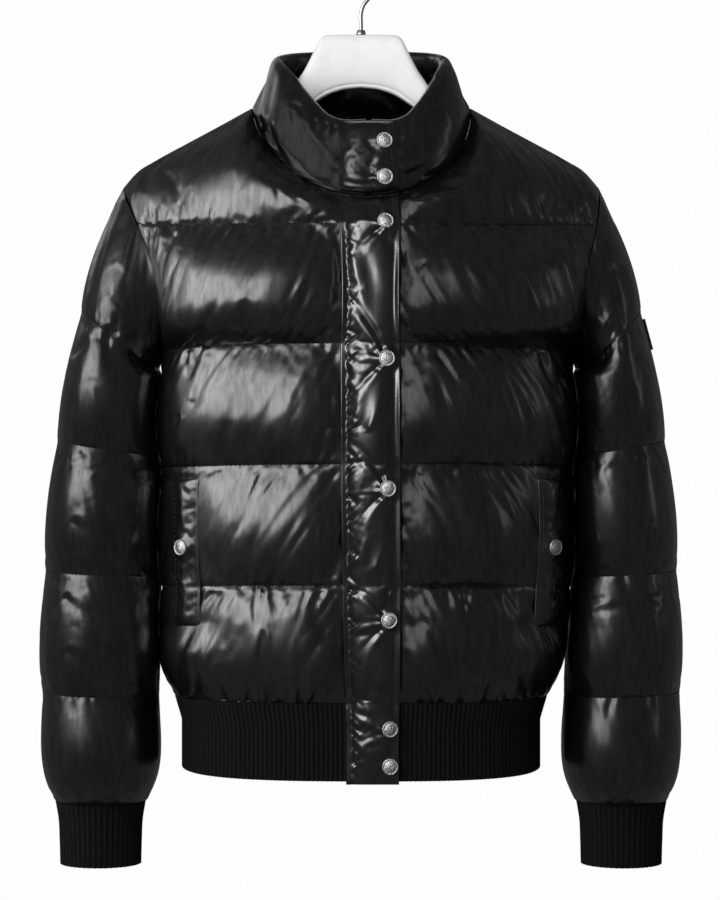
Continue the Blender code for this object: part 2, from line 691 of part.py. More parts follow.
def make_hem():
    """The knitted hem band, open at the centre front under the flap."""
    start = FRONT_COLUMNS[0]
    path = [("right", "front", u) for u in np.linspace(start, 1, 60)]
    path += [("right", "back", u) for u in np.linspace(1, 0, 60)[1:]]
    path += [("left", "back", u) for u in np.linspace(0, 1, 60)[1:]]
    path += [("left", "front", u) for u in np.linspace(1, start, 60)[1:]]
    columns = 2 * HEM_RIBS
    outer, inner = [], []
    for level in (BODY_SEAMS_Z[-1] - HEM_TOP_DROP, HEM_BOTTOM_Z):
        line = np.array([hem_ring(*place[:2], level, place[2]) for place in path])
        length = np.concatenate(((0,), np.cumsum(np.linalg.norm(np.diff(line, axis=0), axis=1))))
        at = np.linspace(0, length[-1], columns + 1)
        even = np.array([[np.interp(a, length, line[:, axis]) for axis in range(3)] for a in at])
        along = np.gradient(even, axis=0)
        out = np.stack((along[:, 1], -along[:, 0], 0 * along[:, 0]), axis=1)
        out /= np.linalg.norm(out, axis=1, keepdims=True)
        if np.sum(out * even) < 0:
            out = -out
        outer.append(even + out * rib_lift(columns + 1)[:, None])
        inner.append(even - out * RIB_WALL)
    picks = list(range(0, columns + 1, 4))
    bm = bmesh.new()
    out_rows = lattice(bm, outer)
    in_rows = lattice(bm, np.array(inner)[:, picks], flip=True)
    for edge in (0, -1):
        rim(bm, out_rows[edge], in_rows[edge], picks)
    for edge in (0, -1):
        bm.faces.new([out_rows[0][edge], out_rows[1][edge], in_rows[1][edge], in_rows[0][edge]])
    new_object("hem_rib", bm, "rib_knit")


def collar_top(side, angle):
    turn = math.radians(angle)
    along = math.cos(turn)
    deep = COLLAR_TOP_FRONT if angle <= 90 else COLLAR_TOP_BACK
    x = SIDES[side] * COLLAR_TOP_HALF_WIDTH * math.sin(turn) + FRONT_OPENING_X * max(along, 0)
    return np.array((x, -deep * along, smooth(COLLAR_TOP["angle"], COLLAR_TOP["z"], angle)))


def collar_ring(side, angle):
    """The padded section of the collar at one place round the neck."""
    seam, top = neck(side, angle), collar_top(side, angle)
    out = unit(np.array((seam[0] / NECK_HALF_WIDTH, seam[1] / NECK_FRONT_DEPTH, 0.0)))
    padding = smooth(COLLAR_PUFF["angle"], COLLAR_PUFF["height"], angle)
    share = float(np.interp(angle, COLLAR_THIN_END["angle"], COLLAR_THIN_END["share"]))
    ring = []
    for k, up in enumerate(COLLAR_SECTION["up"]):
        offset = COLLAR_SECTION["out"][k] * (share if 0 < k < len(COLLAR_SECTION["up"]) - 1 else 1)
        offset += COLLAR_SECTION["puff"][k] * padding
        ring.append(lerp(seam, top, up) + out * offset)
    ring[-1] = seam - neck_direction(seam) * WALL
    tangent = unit(neck(side, min(angle + 1.0, 180.0)) - neck(side, max(angle - 1.0, 0.0)))
    rise = top - seam
    rise = unit(rise - tangent * np.dot(rise, tangent)) * SEAM_GAP
    ring[0] = ring[0] + rise
    ring[-1] = ring[-1] + rise
    return ring


def collar_angles():
    front = [neck_angle("front", u) for u in FRONT_COLUMNS if u <= NECK_SHARE]
    back = [neck_angle("back", u) for u in BACK_COLUMNS if u <= NECK_SHARE]
    return front + back[::-1][1:]


def make_collar():
    """The stand collar, one padded roll from one front edge round the neck to the other."""
    angles = collar_angles()
    sections = [collar_ring("right", a) for a in angles]
    sections += [collar_ring("left", a) for a in angles[::-1][1:]]
    bm = bmesh.new()
    rings = lattice(bm, sections, closed=True)
    bm.faces.new(rings[0])
    bm.faces.new(rings[-1][::-1])
    new_object("collar", bm, "nylon")


def strip_object(name, points, normals, edge, middle, finish, dips=()):
    """A padded strip that lies on a panel: its underside is the panel's own points, moved out."""
    under = points + normals * LAY_GAP
    rows, columns = points.shape[:2]
    across = np.sin(np.pi * np.linspace(0, 1, columns)) ** 0.6
    along = np.clip(np.sin(np.pi * np.linspace(0, 1, rows)) * 6, 0, 1)
    thickness = edge + (middle - edge) * across[None, :] * along[:, None]
    for row, dip in dips:
        thickness[row] -= dip * across
    top = under + normals * thickness[:, :, None]
    bm = bmesh.new()
    out = lattice(bm, top)
    back = lattice(bm, under, flip=True)
    rim(bm, out[0], back[0], list(range(columns)))
    rim(bm, out[-1], back[-1], list(range(columns)))
    for side in (0, -1):
        rim(bm, [row[side] for row in out], [row[side] for row in back], list(range(rows)))
    return new_object(name, bm, finish)


def make_flap(fronts):
    """The storm flap over the fronts and the hem band, and its upper part over the collar."""
    count = FRONT_COLUMNS.index(FLAP_EDGE) + 1
    right, right_out = (grid[:, :count] for grid in fronts["right"])
    left, left_out = (grid[:, :count] for grid in fronts["left"])
    middle = (right[:, :1] + left[:, :1]) / 2
    points = np.concatenate((right[:, :0:-1], middle, left[:, 1:]), axis=1)
    normals = np.concatenate((right_out[:, :0:-1], right_out[:, :1], left_out[:, 1:]), axis=1)
    points[-1] += normals[-1] * 2 * RIB_HEIGHT
    low_rows, low_normals = [], []
    for level in FLAP_HEM_LEVELS + (FLAP_BOTTOM_Z,):
        row = [hem_ring("right", "front", level, u) for u in FRONT_COLUMNS[1:count][::-1]]
        row.append(hem_ring("right", "front", level, 0.0))
        row += [hem_ring("left", "front", level, u) for u in FRONT_COLUMNS[1:count]]
        low_rows.append(np.array(row) + np.array((0.0, -1.5 * RIB_HEIGHT, 0.0)))
        low_normals.append(np.tile((0.0, -1.0, 0.0), (len(row), 1)))
    points = np.concatenate((points, low_rows))
    normals = np.concatenate((normals, low_normals))
    normals[0] = normals[1]
    points[0] = lerp(points[0], points[1], 0.5)
    strip_object("storm_flap", points, normals, FLAP_EDGE_THICKNESS, FLAP_MIDDLE_THICKNESS, "nylon")

    angles = [neck_angle("front", u) for u in FRONT_COLUMNS[1:count]]
    lines = [collar_ring("right", a) for a in angles[::-1]]
    lines.append([(a + b) / 2 for a, b in zip(collar_ring("right", 0.0), collar_ring("left", 0.0))])
    lines += [collar_ring("left", a) for a in angles]
    grid = np.array(lines)[:, :COLLAR_OUTSIDE_ROWS].transpose(1, 0, 2)[::-1]
    outward = np.tile((0.0, -1.0, 0.12), (*grid.shape[:2], 1))
    outward /= np.linalg.norm(outward, axis=2, keepdims=True)
    grid[-1] = lerp(grid[-1], grid[-2], 0.3)
    strip_object("collar_flap", grid + outward * LAY_GAP, outward, FLAP_EDGE_THICKNESS, COLLAR_FLAP_THICKNESS, "nylon")


def make_welts(fronts):
    first, last = (FRONT_COLUMNS.index(edge) for edge in WELT_EDGES)
    top = next(j for j, (c, s) in enumerate(ROWS) if c == 3 and s > 0)
    bottom = next(j for j, (c, s) in enumerate(ROWS) if c == 4 and s == WELT_BOTTOM_SHARE)
    for side in SIDES:
        points, normals = (grid[top:bottom + 1, first:last + 1] for grid in fronts[side])
        middle = (points[:, :1] + points[:, -1:]) / 2
        out = normals.mean(axis=1, keepdims=True)
        out /= np.linalg.norm(out, axis=2, keepdims=True)
        rise = middle + out * WELT_RISE
        wide = np.concatenate((points[:, :1], rise, points[:, -1:]), axis=1)
        facing = np.concatenate((normals[:, :1], out, normals[:, -1:]), axis=1)
        strip_object("pocket_welt_" + side, wide, facing, WELT_EDGE_THICKNESS, WELT_MIDDLE_THICKNESS, "nylon")


def make_zip(fronts):
    """The closed fastening under the flap: one bar between the edges of the two fronts."""
    right, left = (fronts[side][0][:, 0] for side in SIDES)
    low = [
        (hem_ring("right", "front", z, FRONT_COLUMNS[0]), hem_ring("left", "front", z, FRONT_COLUMNS[0]))
        for z in FLAP_HEM_LEVELS + (HEM_BOTTOM_Z,)
    ]
    pairs = list(zip(right, left))[1:] + low
    bm = bmesh.new()
    sections = []
    for a, b in pairs:
        inset = np.array((0.7, 0.0, 0.0))
        front, back = np.array((0.0, 0.5, 0.0)), np.array((0.0, WALL, 0.0))
        sections.append([a + inset + front, b - inset + front, b - inset + back, a + inset + back])
    rings = lattice(bm, sections, closed=True)
    bm.faces.new(rings[0])
    bm.faces.new(rings[-1][::-1])
    new_object("front_zip", bm, "zip_black", 30.0)


def stud_mesh(radius):
    """A press stud's cap: a rim with a low dome, turned round its own axis."""
    bm = bmesh.new()
    profile = [(radius * share, z) for share, z in STUD_PROFILE]
    rings = []
    for r, z in profile:
        turns = [2 * math.pi * k / STUD_SIDES for k in range(STUD_SIDES)]
        rings.append([(r * math.cos(t), r * math.sin(t), z) for t in turns])
    rows = lattice(bm, rings, closed=True)
    bm.faces.new(rows[0])
    bm.faces.new(rows[-1][::-1])
    return bm


def set_stud(name, carrier, start, direction):
    """Puts a stud on the carrier's surface, just clear of the highest point under it."""
    tree = BVHTree.FromObject(carrier, bpy.context.evaluated_depsgraph_get())
    ray = Vector(direction).normalized()
    hit, normal = tree.ray_cast(Vector(start) * MM, ray)[:2]
    side = ray.orthogonal().normalized()
    up = ray.cross(side)
    lean = normal.copy()
    for k in range(12):
        turn = math.pi * k / 6
        probe = Vector(start) * MM + (side * math.cos(turn) + up * math.sin(turn)) * STUD_RADIUS * MM
        found = tree.ray_cast(probe, ray)
        if found[0] is not None:
            lean += found[1]
    lean.normalize()
    side = lean.orthogonal().normalized()
    up = lean.cross(side)
    height = 0.0
    for share in (0.35, 0.7, 1.0):
        for k in range(24):
            turn = math.pi * k / 12
            offset = (side * math.cos(turn) + up * math.sin(turn)) * STUD_RADIUS * share * MM
            found = tree.ray_cast(hit + offset + lean * 0.03, -lean)
            if found[0] is not None:
                height = max(height, (found[0] - hit).dot(lean))
    obj = new_object(name, stud_mesh(STUD_RADIUS), "nickel", 25.0)
    obj.location = hit + lean * (height + STUD_GAP * MM)
    obj.rotation_mode = "QUATERNION"
    obj.rotation_quaternion = lean.to_track_quat("Z", "Y")
    return obj


def make_studs():
    objects = bpy.data.objects
    for k, z in enumerate(STUD_Z):
        carrier = objects["collar_flap" if k < 2 else "storm_flap"]
        x = lerp(STUD_X["top"], STUD_X["bottom"], (z - STUD_Z[0]) / (STUD_Z[-1] - STUD_Z[0]))
        set_stud("snap_%d" % (k + 1), carrier, (x, -300.0, z), (0.0, 1.0, 0.0))
    for side in SIDES:
        welt = objects["pocket_welt_" + side]
        middle = sum((Vector(corner) for corner in welt.bound_box), Vector()) / 8 / MM
        slant = Vector((SIDES[side] * 0.62, -0.78, 0.0))
        start = Vector((middle.x, middle.y, WELT_STUD_ROW_Z)) + slant * 150.0
        set_stud("pocket_snap_" + side, welt, start, -slant)


def make_patch(sleeve):
    """A small bare patch on the outside of the wearer's left sleeve."""
    outer, normals = sleeve
    first = 1 + len(CHANNEL_ROWS[2]) - 1
    rows = slice(first, first + 2)
    columns = [-1, 0, 1]
    points, facing = outer[rows][:, columns], normals[rows][:, columns]
    strip_object("sleeve_patch", points, facing, PATCH_THICKNESS, PATCH_THICKNESS, "patch")


def make_hanger():
    """The broad moulded hanger: oval sections along its two arms."""
    count = len(HANGER["x"])
    stations = [(-1, k) for k in range(count - 1, 0, -1)] + [(1, k) for k in range(count)]
    sections = []
    for sign, k in stations:
        x, top, bottom, depth = (HANGER[name][k] for name in ("x", "top", "bottom", "half_depth"))
        ring = []
        for step in range(HANGER_SIDES):
            turn = 2 * math.pi * step / HANGER_SIDES
            tall, wide = math.cos(turn), math.sin(turn)
            ring.append((sign * x, depth * wide, (top + bottom) / 2 + (top - bottom) / 2 * tall))
        sections.append(ring)
    bm = bmesh.new()
    rings = lattice(bm, sections, closed=True)
    bm.faces.new(rings[0])
    bm.faces.new(rings[-1][::-1])
    new_object("hanger_body", bm, "hanger_white")


def hook_route():
    """The wire's middle line: up the stem and round the hook."""
    points = [Vector((x, 0.0, z)) for x, z in HOOK_STEM]
    centre = Vector((0.0, 0.0, WIRE_RADIUS - HOOK_RADIUS))
    for k in range(HOOK_ARC_STEPS + 1):
        turn = math.radians(lerp(*HOOK_ARC, k / HOOK_ARC_STEPS))
        points.append(centre + HOOK_RADIUS * Vector((math.cos(turn), 0.0, math.sin(turn))))
    return points


def make_hook():
    curve = bpy.data.curves.new("hanger_hook", "CURVE")
    curve.dimensions = "3D"
    curve.bevel_depth = WIRE_RADIUS * MM
    curve.bevel_resolution = 2
    curve.use_fill_caps = True
    route = hook_route()
    spline = curve.splines.new("POLY")
    spline.points.add(len(route) - 1)
    for place, point in zip(spline.points, route):
        place.co = (*(point * MM), 1.0)
    curve.materials.append(material("hanger_hook", "steel"))
    obj = bpy.data.objects.new("hanger_hook", curve)
    bpy.context.scene.collection.objects.link(obj)

    bm = bmesh.new()
    low = HANGER["top"][0] + STUD_GAP
    profile = (
        (FERRULE_RADIUS, low), (FERRULE_RADIUS * 0.8, low + FERRULE_HEIGHT),
        (WIRE_RADIUS + 0.4, low + FERRULE_HEIGHT), (WIRE_RADIUS + 0.4, low),
    )
    turns = [2 * math.pi * k / 12 for k in range(12)]
    rings = [[(r * math.cos(t), r * math.sin(t), z) for t in turns] for r, z in profile + profile[:1]]
    lattice(bm, rings, closed=True)
    bmesh.ops.remove_doubles(bm, verts=bm.verts[:], dist=1e-6)
    new_object("hook_ferrule", bm, "steel", 30.0)


def main():
    for obj in list(bpy.data.objects):
        bpy.data.objects.remove(obj, do_unlink=True)
    fronts = make_fronts()
    make_back()
    sleeves = {side: make_sleeve(side) for side in SIDES}
    for side in SIDES:
        make_cuff(side)
    make_hem()
    make_collar()
    make_flap(fronts)
    make_welts(fronts)
    make_zip(fronts)
    make_studs()
    make_patch(sleeves["left"])
    make_hanger()
    make_hook()


main()
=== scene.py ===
# %% [markdown]
# A glossy black padded bomber jacket hangs closed on a broad white hanger.
# The solids of the part are loaded first and never changed. Each soft piece is then made
# again as a finer mesh in the same place, so the looks and the solids keep one size.

import math

import bmesh
import bpy
import numpy as np
from mathutils import Matrix, Vector


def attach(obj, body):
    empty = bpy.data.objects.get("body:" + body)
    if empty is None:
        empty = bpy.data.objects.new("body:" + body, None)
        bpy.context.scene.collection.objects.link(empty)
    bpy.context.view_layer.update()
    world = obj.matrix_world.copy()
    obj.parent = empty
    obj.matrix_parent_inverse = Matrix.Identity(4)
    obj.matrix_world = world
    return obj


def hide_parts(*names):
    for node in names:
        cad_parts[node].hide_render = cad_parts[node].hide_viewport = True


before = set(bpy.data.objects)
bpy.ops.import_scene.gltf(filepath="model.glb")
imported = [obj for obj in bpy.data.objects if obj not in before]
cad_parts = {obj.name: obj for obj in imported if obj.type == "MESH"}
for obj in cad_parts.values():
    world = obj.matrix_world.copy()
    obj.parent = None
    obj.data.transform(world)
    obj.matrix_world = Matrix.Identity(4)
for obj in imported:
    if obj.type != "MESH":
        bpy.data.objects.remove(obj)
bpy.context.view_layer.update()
MM = 0.001

# %% [markdown]
# The camera stands straight in front of the jacket at two and a half metres, level with
# its middle. Large soft boxes on the left draw the wide bright patches on the cloth, and
# smaller ones light single pieces. The room is kept dim so that black stays black.

# %% Camera
CAMERA_PLACE = (-0.00093, -2.5, -0.4659)
FRAME_HEIGHT = 0.837     # metres of the jacket's plane that the frame's height shows
camera_data = bpy.data.cameras.new("camera")
camera = bpy.data.objects.new("camera", camera_data)
bpy.context.scene.collection.objects.link(camera)
camera.location = CAMERA_PLACE
camera.rotation_euler = (math.radians(90), 0, 0)
camera_data.sensor_width = 36.0
camera_data.lens = camera_data.sensor_width / 2 / (FRAME_HEIGHT / 2 / -CAMERA_PLACE[1])
bpy.context.scene.camera = camera
bpy.context.scene.view_settings.view_transform = "Standard"


# %% Lights
def soft_box(name, place, target, width, height, watts):
    """A rectangular studio light turned towards a point."""
    data = bpy.data.lights.new(name, "AREA")
    data.shape = "RECTANGLE"
    data.size, data.size_y, data.energy = width, height, watts
    light = bpy.data.objects.new(name, data)
    bpy.context.scene.collection.objects.link(light)
    light.location = place
    light.visible_camera = False
    light.rotation_euler = (Vector(target) - Vector(place)).to_track_quat("-Z", "Y").to_euler()
    return light


CHEST, UPPER_CHEST, FLAP_MIDDLE = (0.0, 0.0, -0.45), (0.0, 0.0, -0.3), (0.0, -0.1, -0.45)
WIDE_PLACE, FLAP_PLACE = (-1.45, -1.6, 0.6), (-0.8, -2.2, 0.25)
key_light = soft_box("key_light", (-1.42, -1.55, 0.39), UPPER_CHEST, 2.7, 1.56, 35.5)
wide_light = soft_box("wide_light", WIDE_PLACE, UPPER_CHEST, 3.2, 2.1, 18.0)
side_light = soft_box("side_light", (-2.1, -0.1, 0.35), (0.0, 0.0, -0.35), 1.5, 1.5, 9.0)
sleeve_light = soft_box("sleeve_light", (-1.8, -1.15, 0.55), (-0.2, 0.0, -0.4), 2.0, 1.2, 22.0)
flap_light = soft_box("flap_light", FLAP_PLACE, FLAP_MIDDLE, 0.8, 1.2, 24.0)
collar_light = soft_box("collar_light", (-1.6, 0.7, 0.9), (0.0, 0.0, -0.15), 0.3, 0.7, 1.5)
collar_fill = soft_box("collar_fill", WIDE_PLACE, UPPER_CHEST, 3.2, 2.1, 6.5)
collar_flap_light = soft_box("collar_flap_light", FLAP_PLACE, FLAP_MIDDLE, 0.8, 1.2, 9.0)
hanger_light = soft_box("hanger_light", (0.4, -2.2, 0.5), (0.0, 0.0, -0.12), 1.5, 1.2, 17.0)
right_light = soft_box("right_light", (1.9, -0.6, 0.2), CHEST, 0.2, 1.2, 0.6)
back_light = soft_box("back_light", (-0.7, 2.3, 0.35), CHEST, 3.2, 1.3, 17.0)
sleeve_back_light = soft_box("sleeve_back_light", (-0.9, 2.2, 0.8), CHEST, 2.2, 1.2, 5.0)
print("lights", len(bpy.data.lights))


# %% [markdown]
# A finish is a small network of shader nodes. Wrapping each socket in a little class lets
# the sums be written as Python expressions, and one method makes any other node.

# %% A socket that can be added and multiplied
class Socket:
    """One output of a node tree, with sums written as Python expressions."""

    def __init__(self, tree, link):
        self.tree, self.link = tree, link

    def give(self, socket, value):
        """Links an input to another node's output, or sets its value."""
        if isinstance(value, Socket):
            self.tree.links.new(value.link, socket)
        else:
            socket.default_value = value

    def node(self, kind, settings=(), **inputs):
        """Any other node: its type, its settings, and the values or links of its sockets."""
        made = self.tree.nodes.new(kind)
        for name, value in dict(settings).items():
            setattr(made, name, value)
        for name, value in inputs.items():
            key = int(name[1:]) if name[0] == "_" else name.replace("_", " ")
            self.give(made.inputs[key], value)
        return Socket(self.tree, made.outputs[0])

    def math(self, operation, other, swap=False):
        first, second = (other, self) if swap else (self, other)
        return self.node("ShaderNodeMath", {"operation": operation}, _0=first, _1=second)

    def __add__(self, other):
        return self.math("ADD", other)

    def __sub__(self, other):
        return self.math("SUBTRACT", other)

    def __rsub__(self, other):
        return self.math("SUBTRACT", other, swap=True)

    def __mul__(self, other):
        return self.math("MULTIPLY", other)

    __radd__ = __add__
    __rmul__ = __mul__

    def between(self, low, high):
        """0 below low, 1 above high, and a smooth step between."""
        settings = {"interpolation_type": "SMOOTHSTEP"}
        return self.node("ShaderNodeMapRange", settings, _0=self, _1=low, _2=high)

    def blend(self, first, second):
        """The first colour where this is 0, the second where it is 1."""
        made = self.tree.nodes.new("ShaderNodeMix")
        made.data_type = "RGBA"
        for key, value in ((0, self), (6, first), (7, second)):
            self.give(made.inputs[key], value if isinstance(value, Socket) else (*value, 1.0))
        return Socket(self.tree, made.outputs[2])


def place_of(tree, scale=(1, 1, 1), turn=(0, 0, 0), source="Object"):
    """The point that a pattern reads, on the object or in its own map, stretched and turned."""
    coordinates = tree.nodes.new("ShaderNodeTexCoord")
    point = Socket(tree, coordinates.outputs[source])
    turned = [math.radians(angle) for angle in turn]
    return point.node("ShaderNodeMapping", _0=point, Scale=scale, Rotation=turned)


def noise(point, scale, detail=3.0, roughness=0.5, distortion=0.0):
    return point.node(
        "ShaderNodeTexNoise", Vector=point, Scale=scale, Detail=detail, Roughness=roughness,
        Distortion=distortion,
    )


def finish_of(name, **values):
    """A new material and its shader, with the values that are the same all over."""
    made = bpy.data.materials.new(name)
    made.use_nodes = True
    shader = made.node_tree.nodes["Principled BSDF"]
    for key, value in values.items():
        shader.inputs[key.replace("_", " ")].default_value = value
    return made, made.node_tree, shader


def wire(shader, socket, value):
    shader.id_data.links.new(value.link, shader.inputs[socket])


def relief(height, strength, distance, normal=None):
    """A Bump node for a height in metres."""
    extra = {"Normal": normal} if normal else {}
    return height.node("ShaderNodeBump", Height=height, Strength=strength, Distance=distance, **extra)


# %% [markdown]
# The cloth is a thin nylon with a wet-looking coat. It is almost black, and its shape shows
# only through its reflections. Fine slanting ripples, too small to model, break these up.
# They are noise that is stretched along one direction. It feeds the bump, and lets the
# roughness and the coat vary.

# %% Coated nylon
NYLON_DARK, NYLON_LIGHT = (0.0035, 0.0035, 0.0038), (0.0055, 0.0055, 0.0058)
RIPPLE_TURN, GLINT_TURN = (0, 24, 0), (0, 28, 0)     # degrees off upright


def make_nylon(name, ripple=1.0):
    made, tree, shader = finish_of(name, IOR=1.45, Coat_Roughness=0.24, Coat_IOR=2.0)
    slant = place_of(tree, scale=(60, 60, 16), turn=RIPPLE_TURN)
    streaks = noise(slant, 1.0, roughness=0.55, distortion=0.6)
    broad = noise(place_of(tree, scale=(26, 26, 11), turn=RIPPLE_TURN), 1.0, detail=2.0)
    crumple = noise(place_of(tree), 210.0, detail=2.0, roughness=0.6, distortion=1.2)
    weave = noise(place_of(tree), 2600.0, detail=1.0)
    height = streaks * (0.8 * ripple) + broad * (1.1 * ripple) + crumple * (0.12 * ripple)
    wide = relief(height, 1.0, 0.0008)
    wire(shader, "Normal", relief(weave, 0.25, 0.00006, wide))
    fine = noise(place_of(tree, scale=(240, 240, 44), turn=GLINT_TURN), 1.0, roughness=0.6)
    wire(shader, "Roughness", streaks.between(0.3, 0.75) * 0.08 + 0.32)
    wire(shader, "Coat Weight", (fine * 0.6 + streaks * 0.4).between(0.36, 0.62) * 0.4 + 0.4)
    wire(shader, "Base Color", broad.between(0.3, 0.7).blend(NYLON_DARK, NYLON_LIGHT))
    return made


nylon = make_nylon("coated_nylon")
nylon_flap = make_nylon("coated_nylon_flap", ripple=0.6)
print("nylon of", len(nylon.node_tree.nodes), "nodes")


# %% [markdown]
# The ribbed bands are a dull wool-like knit. Each rib is modelled, and the small stitches
# on it come from waves along and across the band's own map, which counts in metres.

# %% Rib knit
KNIT_DARK, KNIT_LIGHT = (0.0015, 0.0015, 0.0016), (0.0045, 0.0045, 0.0048)
STITCH_PACE, COLUMN_PACE = 2900.0, 1450.0     # how fast the two waves run, for each metre


def make_knit(name):
    made, tree, shader = finish_of(name, IOR=1.3, Sheen_Weight=0.03, Sheen_Roughness=0.5)
    point = place_of(tree, source="UV")
    split = point.node("ShaderNodeSeparateXYZ", _0=point).link.node
    across, along = (Socket(tree, split.outputs[k]) for k in (0, 1))
    zigzag = (across * COLUMN_PACE).math("PINGPONG", 1.0)
    slant = (along * STITCH_PACE + zigzag * 3.0).math("SINE", 0.0)
    fuzz = noise(place_of(tree), 900.0)
    wire(shader, "Normal", relief(slant * 0.5 + fuzz * 0.7, 0.7, 0.0003))
    wire(shader, "Roughness", fuzz * 0.15 + 0.8)
    wire(shader, "Base Color", fuzz.between(0.35, 0.7).blend(KNIT_DARK, KNIT_LIGHT))
    return made


knit = make_knit("rib_knit")
print("knit of", len(knit.node_tree.nodes), "nodes")


# %% [markdown]
# The rest is metal, moulded plastic and thread. Nickel gets faint scratches and a slight
# unevenness, the hanger a soft gloss, and the thread a fine grain.

# %% Metal, plastic, thread and rubber
def make_metal(name, colour, roughness, dimple):
    made, tree, shader = finish_of(name, Metallic=1.0)
    rough = noise(place_of(tree), 700.0)
    fine = noise(place_of(tree, scale=(1, 1, 4)), 1500.0, detail=2.0)
    wire(shader, "Roughness", rough * 0.12 + roughness)
    wire(shader, "Base Color", rough.between(0.3, 0.7).blend([0.85 * c for c in colour], colour))
    wire(shader, "Normal", relief(rough + fine * 0.4, dimple, 0.0004))
    return made


def make_plain(name, dark, light, roughness, scale, depth):
    made, tree, shader = finish_of(name)
    grain = noise(place_of(tree), scale)
    wire(shader, "Roughness", grain * 0.08 + roughness)
    wire(shader, "Base Color", grain.between(0.3, 0.7).blend(dark, light))
    wire(shader, "Normal", relief(grain, 0.5, depth))
    return made


nickel = make_metal("polished_nickel", (0.82, 0.81, 0.79), 0.25, 1.6)
steel = make_metal("bright_wire", (0.7, 0.7, 0.72), 0.2, 0.15)
hanger_gloss = make_plain("hanger_plastic", (0.8, 0.8, 0.805), (0.83, 0.83, 0.835), 0.24, 60.0, 0.00005)
thread_black = make_plain("thread", (0.01, 0.01, 0.011), (0.03, 0.03, 0.032), 0.6, 2500.0, 0.0001)
rubber = make_plain("patch_rubber", (0.012, 0.012, 0.013), (0.02, 0.02, 0.021), 0.5, 1800.0, 0.0001)
tape_black = make_plain("zip_tape", (0.012, 0.012, 0.013), (0.022, 0.022, 0.023), 0.55, 1500.0, 0.0002)
floor_white = make_plain("pale_floor", (0.8, 0.8, 0.8), (0.84, 0.84, 0.84), 0.7, 3.0, 0.0001)
print("finishes", len(bpy.data.materials))


# %% [markdown]
# The background is white, but its light must not wash over the black cloth. So the camera
# sees a white world, and every other ray meets a dim one. A pale floor lies far below.

# %% Room: a white surround that lights little, and a pale floor
SURROUND, ROOM_LIGHT = (0.985, 0.985, 0.985, 1), (0.085, 0.085, 0.087, 1)
FLOOR_RADIUS, FLOOR_LEVEL = 2.2, -1.35


def make_room():
    world = bpy.data.worlds.new("studio")
    bpy.context.scene.world = world
    world.use_nodes = True
    tree = world.node_tree
    shown = tree.nodes["Background"]
    shown.inputs["Color"].default_value = SURROUND
    dim = tree.nodes.new("ShaderNodeBackground")
    dim.inputs["Color"].default_value = ROOM_LIGHT
    rays = tree.nodes.new("ShaderNodeLightPath")
    mix = tree.nodes.new("ShaderNodeMixShader")
    tree.links.new(rays.outputs["Is Camera Ray"], mix.inputs[0])
    tree.links.new(dim.outputs[0], mix.inputs[1])
    tree.links.new(shown.outputs[0], mix.inputs[2])
    tree.links.new(mix.outputs[0], tree.nodes["World Output"].inputs["Surface"])


def make_floor():
    bm = bmesh.new()
    bmesh.ops.create_circle(bm, cap_ends=True, segments=64, radius=FLOOR_RADIUS)
    bmesh.ops.translate(bm, verts=bm.verts, vec=(0, 0, FLOOR_LEVEL))
    mesh = bpy.data.meshes.new("floor")
    bm.to_mesh(mesh)
    bm.free()
    mesh.materials.append(floor_white)
    floor = bpy.data.objects.new("floor", mesh)
    floor.visible_glossy = False
    bpy.context.scene.collection.objects.link(floor)


make_room()
make_floor()

# %% [markdown]
# The jacket's cut is a few short tables in millimetres. They are read with a smooth curve
# through their rows, and give the same seams and widths that the solids have.

# %% Tables of the cut
WALL, SEAM_GAP = 3.0, 0.2
SIDES = {"right": -1, "left": 1}
FACES = {"front": 1, "back": -1}
NECK_HALF_WIDTH, NECK_FRONT_DEPTH, NECK_BACK_DEPTH = 101.4, 84.0, 66.0
NECK_SHOULDER_Z, NECK_FRONT_DROP, NECK_BACK_DROP = -148.0, 90.0, 12.0
NECK_FRONT_CURVE, NECK_BACK_CURVE = 1.07, 1.5
NECK_SHARE, NECK_EASE = 0.5, 1.13
OPENING_X = 7.0
SHOULDER = {
    "at": (0.0, 0.25, 0.5, 0.75, 0.9, 1.0),
    "x": (101.4, 131.0, 161.0, 192.0, 209.0, 221.5),
    "z": (-148.0, -164.4, -180.5, -197.5, -208.5, -223.0),
}
ARMHOLE = {
    "at": (0.0, 0.1, 0.23, 0.45, 0.66, 0.85, 1.0),
    "x": (221.5, 217.5, 210.5, 199.5, 192.0, 189.0, 189.8),
    "depth": (0.0, 20.0, 40.0, 58.0, 62.0, 46.0, 0.0),
    "z": (-223.0, -236.0, -259.5, -293.0, -328.0, -361.0, -384.0),
    "shift": (0.0, 2.0, 5.5, 8.0, 8.5, 7.5, 5.75),
}
YOKE_END = 0.23
CHEST_Z, CHEST_SWEEP = -263.4, 62.0
CHEST_DEPTH = {"front": 103.0, "back": 92.0}
BODY = {
    "z": (-371.0, -425.0, -478.7, -586.5, -627.0, -665.0, -692.0),
    "right_x": (-184.0, -184.5, -184.5, -184.0, -184.0, -181.0, -172.0),
    "left_x": (195.5, 195.5, 195.3, 193.0, 188.0, 181.5, 172.0),
    "opening_x": (8.5, 8.8, 9.0, 10.0, 10.5, 11.0, 11.4),
    "front": (112.0, 115.0, 114.0, 111.0, 109.0, 106.0, 101.0),
    "back": (100.0, 103.0, 103.0, 102.0, 101.0, 98.0, 94.0),
}
ROUNDNESS = 2.6
SIDE_DROP, ARMPIT_DROP, SIDE_FADE = 8.0, 13.0, 100.0
SEAMS_Z = (-371.0, -478.7, -586.5, -692.0)
OPENING_EDGE, FLAP_EDGE = 0.0155, 0.107     # shares of a front's width


# %% Reading a table
def lerp(a, b, share):
    return a + (b - a) * share


